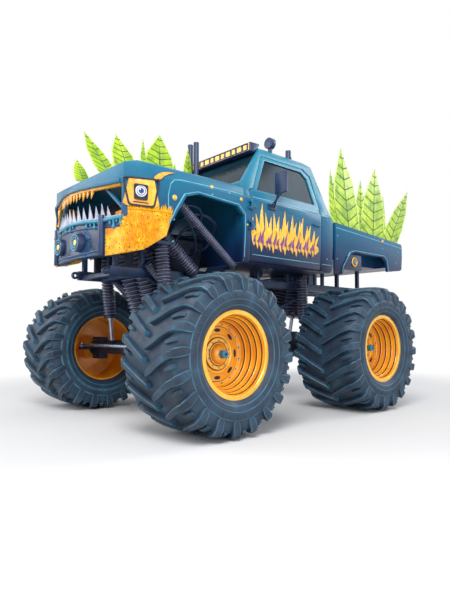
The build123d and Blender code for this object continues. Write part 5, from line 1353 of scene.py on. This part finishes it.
# Bent pipes in the front arch, from the engine and back to it: radius and points (x, y, z).
pipe_rows = [
    (0.024, [(0.8, 0.22, 2.3), (0.64, 0.44, 2.3), (0.62, 0.58, 2.42), (0.8, 0.6, 2.52), (1.02, 0.58, 2.5),
             (1.16, 0.46, 2.4), (1.1, 0.22, 2.3)]),
    (0.018, [(0.76, 0.22, 2.14), (0.7, 0.42, 2.12), (0.68, 0.54, 2.24), (0.84, 0.58, 2.36),
             (1.04, 0.54, 2.34), (1.12, 0.4, 2.2), (1.06, 0.22, 2.16)]),
    (0.014, [(0.9, 0.22, 2.36), (0.84, 0.48, 2.38), (0.86, 0.6, 2.46), (0.96, 0.66, 2.58), (1.2, 0.64, 2.58),
             (1.3, 0.52, 2.46), (1.14, 0.22, 2.34)]),
    (0.012, [(0.86, 0.22, 2.06), (0.88, 0.46, 2.04), (0.92, 0.56, 2.16), (1.00, 0.6, 2.3), (1.12, 0.6, 2.44),
             (1.22, 0.44, 2.34), (1.12, 0.22, 2.24)]),
]
pipe_steps = 5
pipe_sides = 10


def smooth_path(points):
    """More points on a smooth line through the given ones."""
    path = []
    last = len(points) - 1
    for k in range(last):
        p0, p1, p2, p3 = points[max(k - 1, 0)], points[k], points[k + 1], points[min(k + 2, last)]
        for n in range(pipe_steps):
            t = n / pipe_steps
            path.append(0.5 * (2 * p1 + (p2 - p0) * t + (2 * p0 - 5 * p1 + 4 * p2 - p3) * t * t
                               + (3 * p1 - p0 - 3 * p2 + p3) * t ** 3))
    return path + [points[-1]]


def add_pipes():
    parts = []
    for side in (1, -1):
        for radius, points in pipe_rows:
            path = smooth_path([place(x, side * y, z) for x, y, z in points])
            parts.append(even_tube(path, radius, pipe_sides))
    add_piece("arch_pipes", join(parts), "frame_steel", 50)


# Roof bar

# Foot and head of the windshield: share of the cab's length from its rear, share of its height.
windshield_shares = [(1.0, 0.6), (0.683, 0.994)]
visor_height = 0.12
visor_reach = 0.08
visor_floor = 0.0133
visor_rise = 0.02
trim_half = 0.66
trim_inset = 0.01
trim_corner = 0.02
bar_count = 11
bar_spread = 1.16
bar_inset = 0.032
bar_corner = 0.008
bar_half_widths = (0.03, 0.042)


def box_outline(y, half, low, high, corner, steps=4):
    return rounded([(y - half, low), (y + half, low), (y + half, high), (y - half, high)], corner, steps)


def add_bar_trim():
    """A gold frame and a row of plain bars on the visor's face."""
    foot, head = [(firewall_x - cab_length + s * cab_length, sill_height + t * cab_height)
                  for s, t in windshield_shares]
    slope = (foot[0] - head[0]) / (head[1] - foot[1])
    low, high = head[1] - visor_height + visor_floor, head[1] + visor_rise
    outline = box_outline(0, trim_half, low + trim_inset, high - trim_inset, trim_corner)
    parts = [frame_part(outline, wide=0.012, low=-0.004, high=0.006)]
    for k in range(bar_count):
        y = bar_spread * (k / (bar_count - 1) - 0.5)
        bar = box_outline(y, bar_half_widths[k % 2], low + bar_inset, high - bar_inset, bar_corner, 2)
        parts.append(plate_part(bar, low=-0.002, high=0.005))
    part = turned_forward(join(parts), head[0] + slope * visor_height + visor_reach, 0, 0)
    add_piece("bar_trim", part, "gold_stud")


# Stage, lights and camera

camera_place = (4.797, 5.45, 1.087)
camera_yaw = 41.75
camera_pitch = 3.4
focal_pixels = 504.8
picture_height = 600
floor_half = 60
floor_grey = (0.72, 0.72, 0.72, 1)
sky_blue = (0.92, 0.94, 1.0, 1)
sky_strength = 0.55
white = (1, 1, 1, 1)
# The floor keeps the shadow up to the first distance and is white from the second.
shadow_reach = 4.2
white_reach = 7.5
lamp_target = (0, 0, 1.8)
# Lamps: name, place, size, power.
lamp_rows = [
    ("key", (7, 6, 9), 5, 1050), ("fill", (9, -6, 5), 6, 420), ("back", (-9, 4, 8), 5, 420),
    ("low", (3, 9, 2), 4, 120),
]


def math_node(tree, operation, *values):
    node = tree.nodes.new("ShaderNodeMath")
    node.operation = operation
    for value, socket in zip(values, node.inputs):
        tree.links.new(value, socket)
    return node.outputs[0]


def seen_rays(tree):
    """1 for what the camera sees, straight, mirrored or through glass."""
    rays = tree.nodes.new("ShaderNodeLightPath").outputs
    share = math_node(tree, "MAXIMUM", rays["Is Camera Ray"], rays["Is Glossy Ray"])
    return math_node(tree, "MAXIMUM", share, rays["Is Transmission Ray"])


def blend_shaders(tree, share, first, second, output):
    """Sends a mix of two shaders to the output node."""
    blend = add_node(tree, "ShaderNodeMixShader", Fac=share)
    tree.links.new(first.outputs[0], blend.inputs[1])
    tree.links.new(second.outputs[0], blend.inputs[2])
    feed(tree, tree.nodes[output], Surface=blend.outputs[0])


def add_stage():
    """A pale floor that keeps the truck's shadow and fades to white away from it."""
    verts = [(x * floor_half, y * floor_half, 0) for x, y in ((-1, -1), (1, -1), (1, 1), (-1, 1))]
    mesh = mesh_of("floor", verts, [(0, 1, 2, 3)], [0])
    floor = bpy.data.objects.new("floor", mesh)
    bpy.context.scene.collection.objects.link(floor)
    material, tree, shader = new_material("floor_pale")
    feed(tree, shader, Base_Color=floor_grey, Roughness=0.9)
    distance = add_node(tree, "ShaderNodeVectorMath", Vector=coordinates(tree))
    distance.operation = "LENGTH"
    fade = add_node(tree, "ShaderNodeMapRange", Value=distance.outputs["Value"], From_Min=shadow_reach,
                    From_Max=white_reach)
    fade.interpolation_type = "SMOOTHSTEP"
    share = math_node(tree, "MULTIPLY", fade.outputs["Result"], seen_rays(tree))
    glow = add_node(tree, "ShaderNodeEmission", Color=white)
    blend_shaders(tree, share, shader, glow, "Material Output")
    mesh.materials.append(material)


def add_lamp(name, position, size, power):
    light = bpy.data.lights.new(name, "AREA")
    light.size = size
    light.energy = power
    lamp = bpy.data.objects.new(name, light)
    lamp.location = position
    lamp.rotation_euler = (Vector(lamp_target) - Vector(position)).to_track_quat("-Z", "Y").to_euler()
    bpy.context.scene.collection.objects.link(lamp)


def add_lights():
    for row in lamp_rows:
        add_lamp(*row)
    world = bpy.data.worlds.new("studio")
    bpy.context.scene.world = world
    world.use_nodes = True
    tree = world.node_tree
    sky = feed(tree, tree.nodes["Background"], Color=sky_blue, Strength=sky_strength)
    backdrop = add_node(tree, "ShaderNodeBackground", Color=white)
    blend_shaders(tree, seen_rays(tree), sky, backdrop, "World Output")


def add_camera():
    data = bpy.data.cameras.new("camera")
    data.lens = focal_pixels * data.sensor_width / picture_height
    camera = bpy.data.objects.new("camera", data)
    camera.location = place(*camera_place)
    yaw, pitch = math.radians(camera_yaw), math.radians(camera_pitch)
    ahead = Vector((-math.sin(yaw) * math.cos(pitch), -math.cos(yaw) * math.cos(pitch), math.sin(pitch)))
    camera.rotation_mode = "QUATERNION"
    camera.rotation_quaternion = ahead.to_track_quat("-Z", "Y")
    bpy.context.scene.collection.objects.link(camera)
    bpy.context.scene.camera = camera


bpy.context.scene.view_settings.view_transform = "Standard"
add_camera()
add_stage()
add_lights()
add_wheels()
add_bellows()
add_panels()
add_leaves()
add_flames()
add_creases()
add_studs()
add_eyes()
add_jaw_fur()
add_front_lamps()
add_pod_lamps()
add_bar_trim()
add_front_trim()
add_arch_lines()
add_pipes()
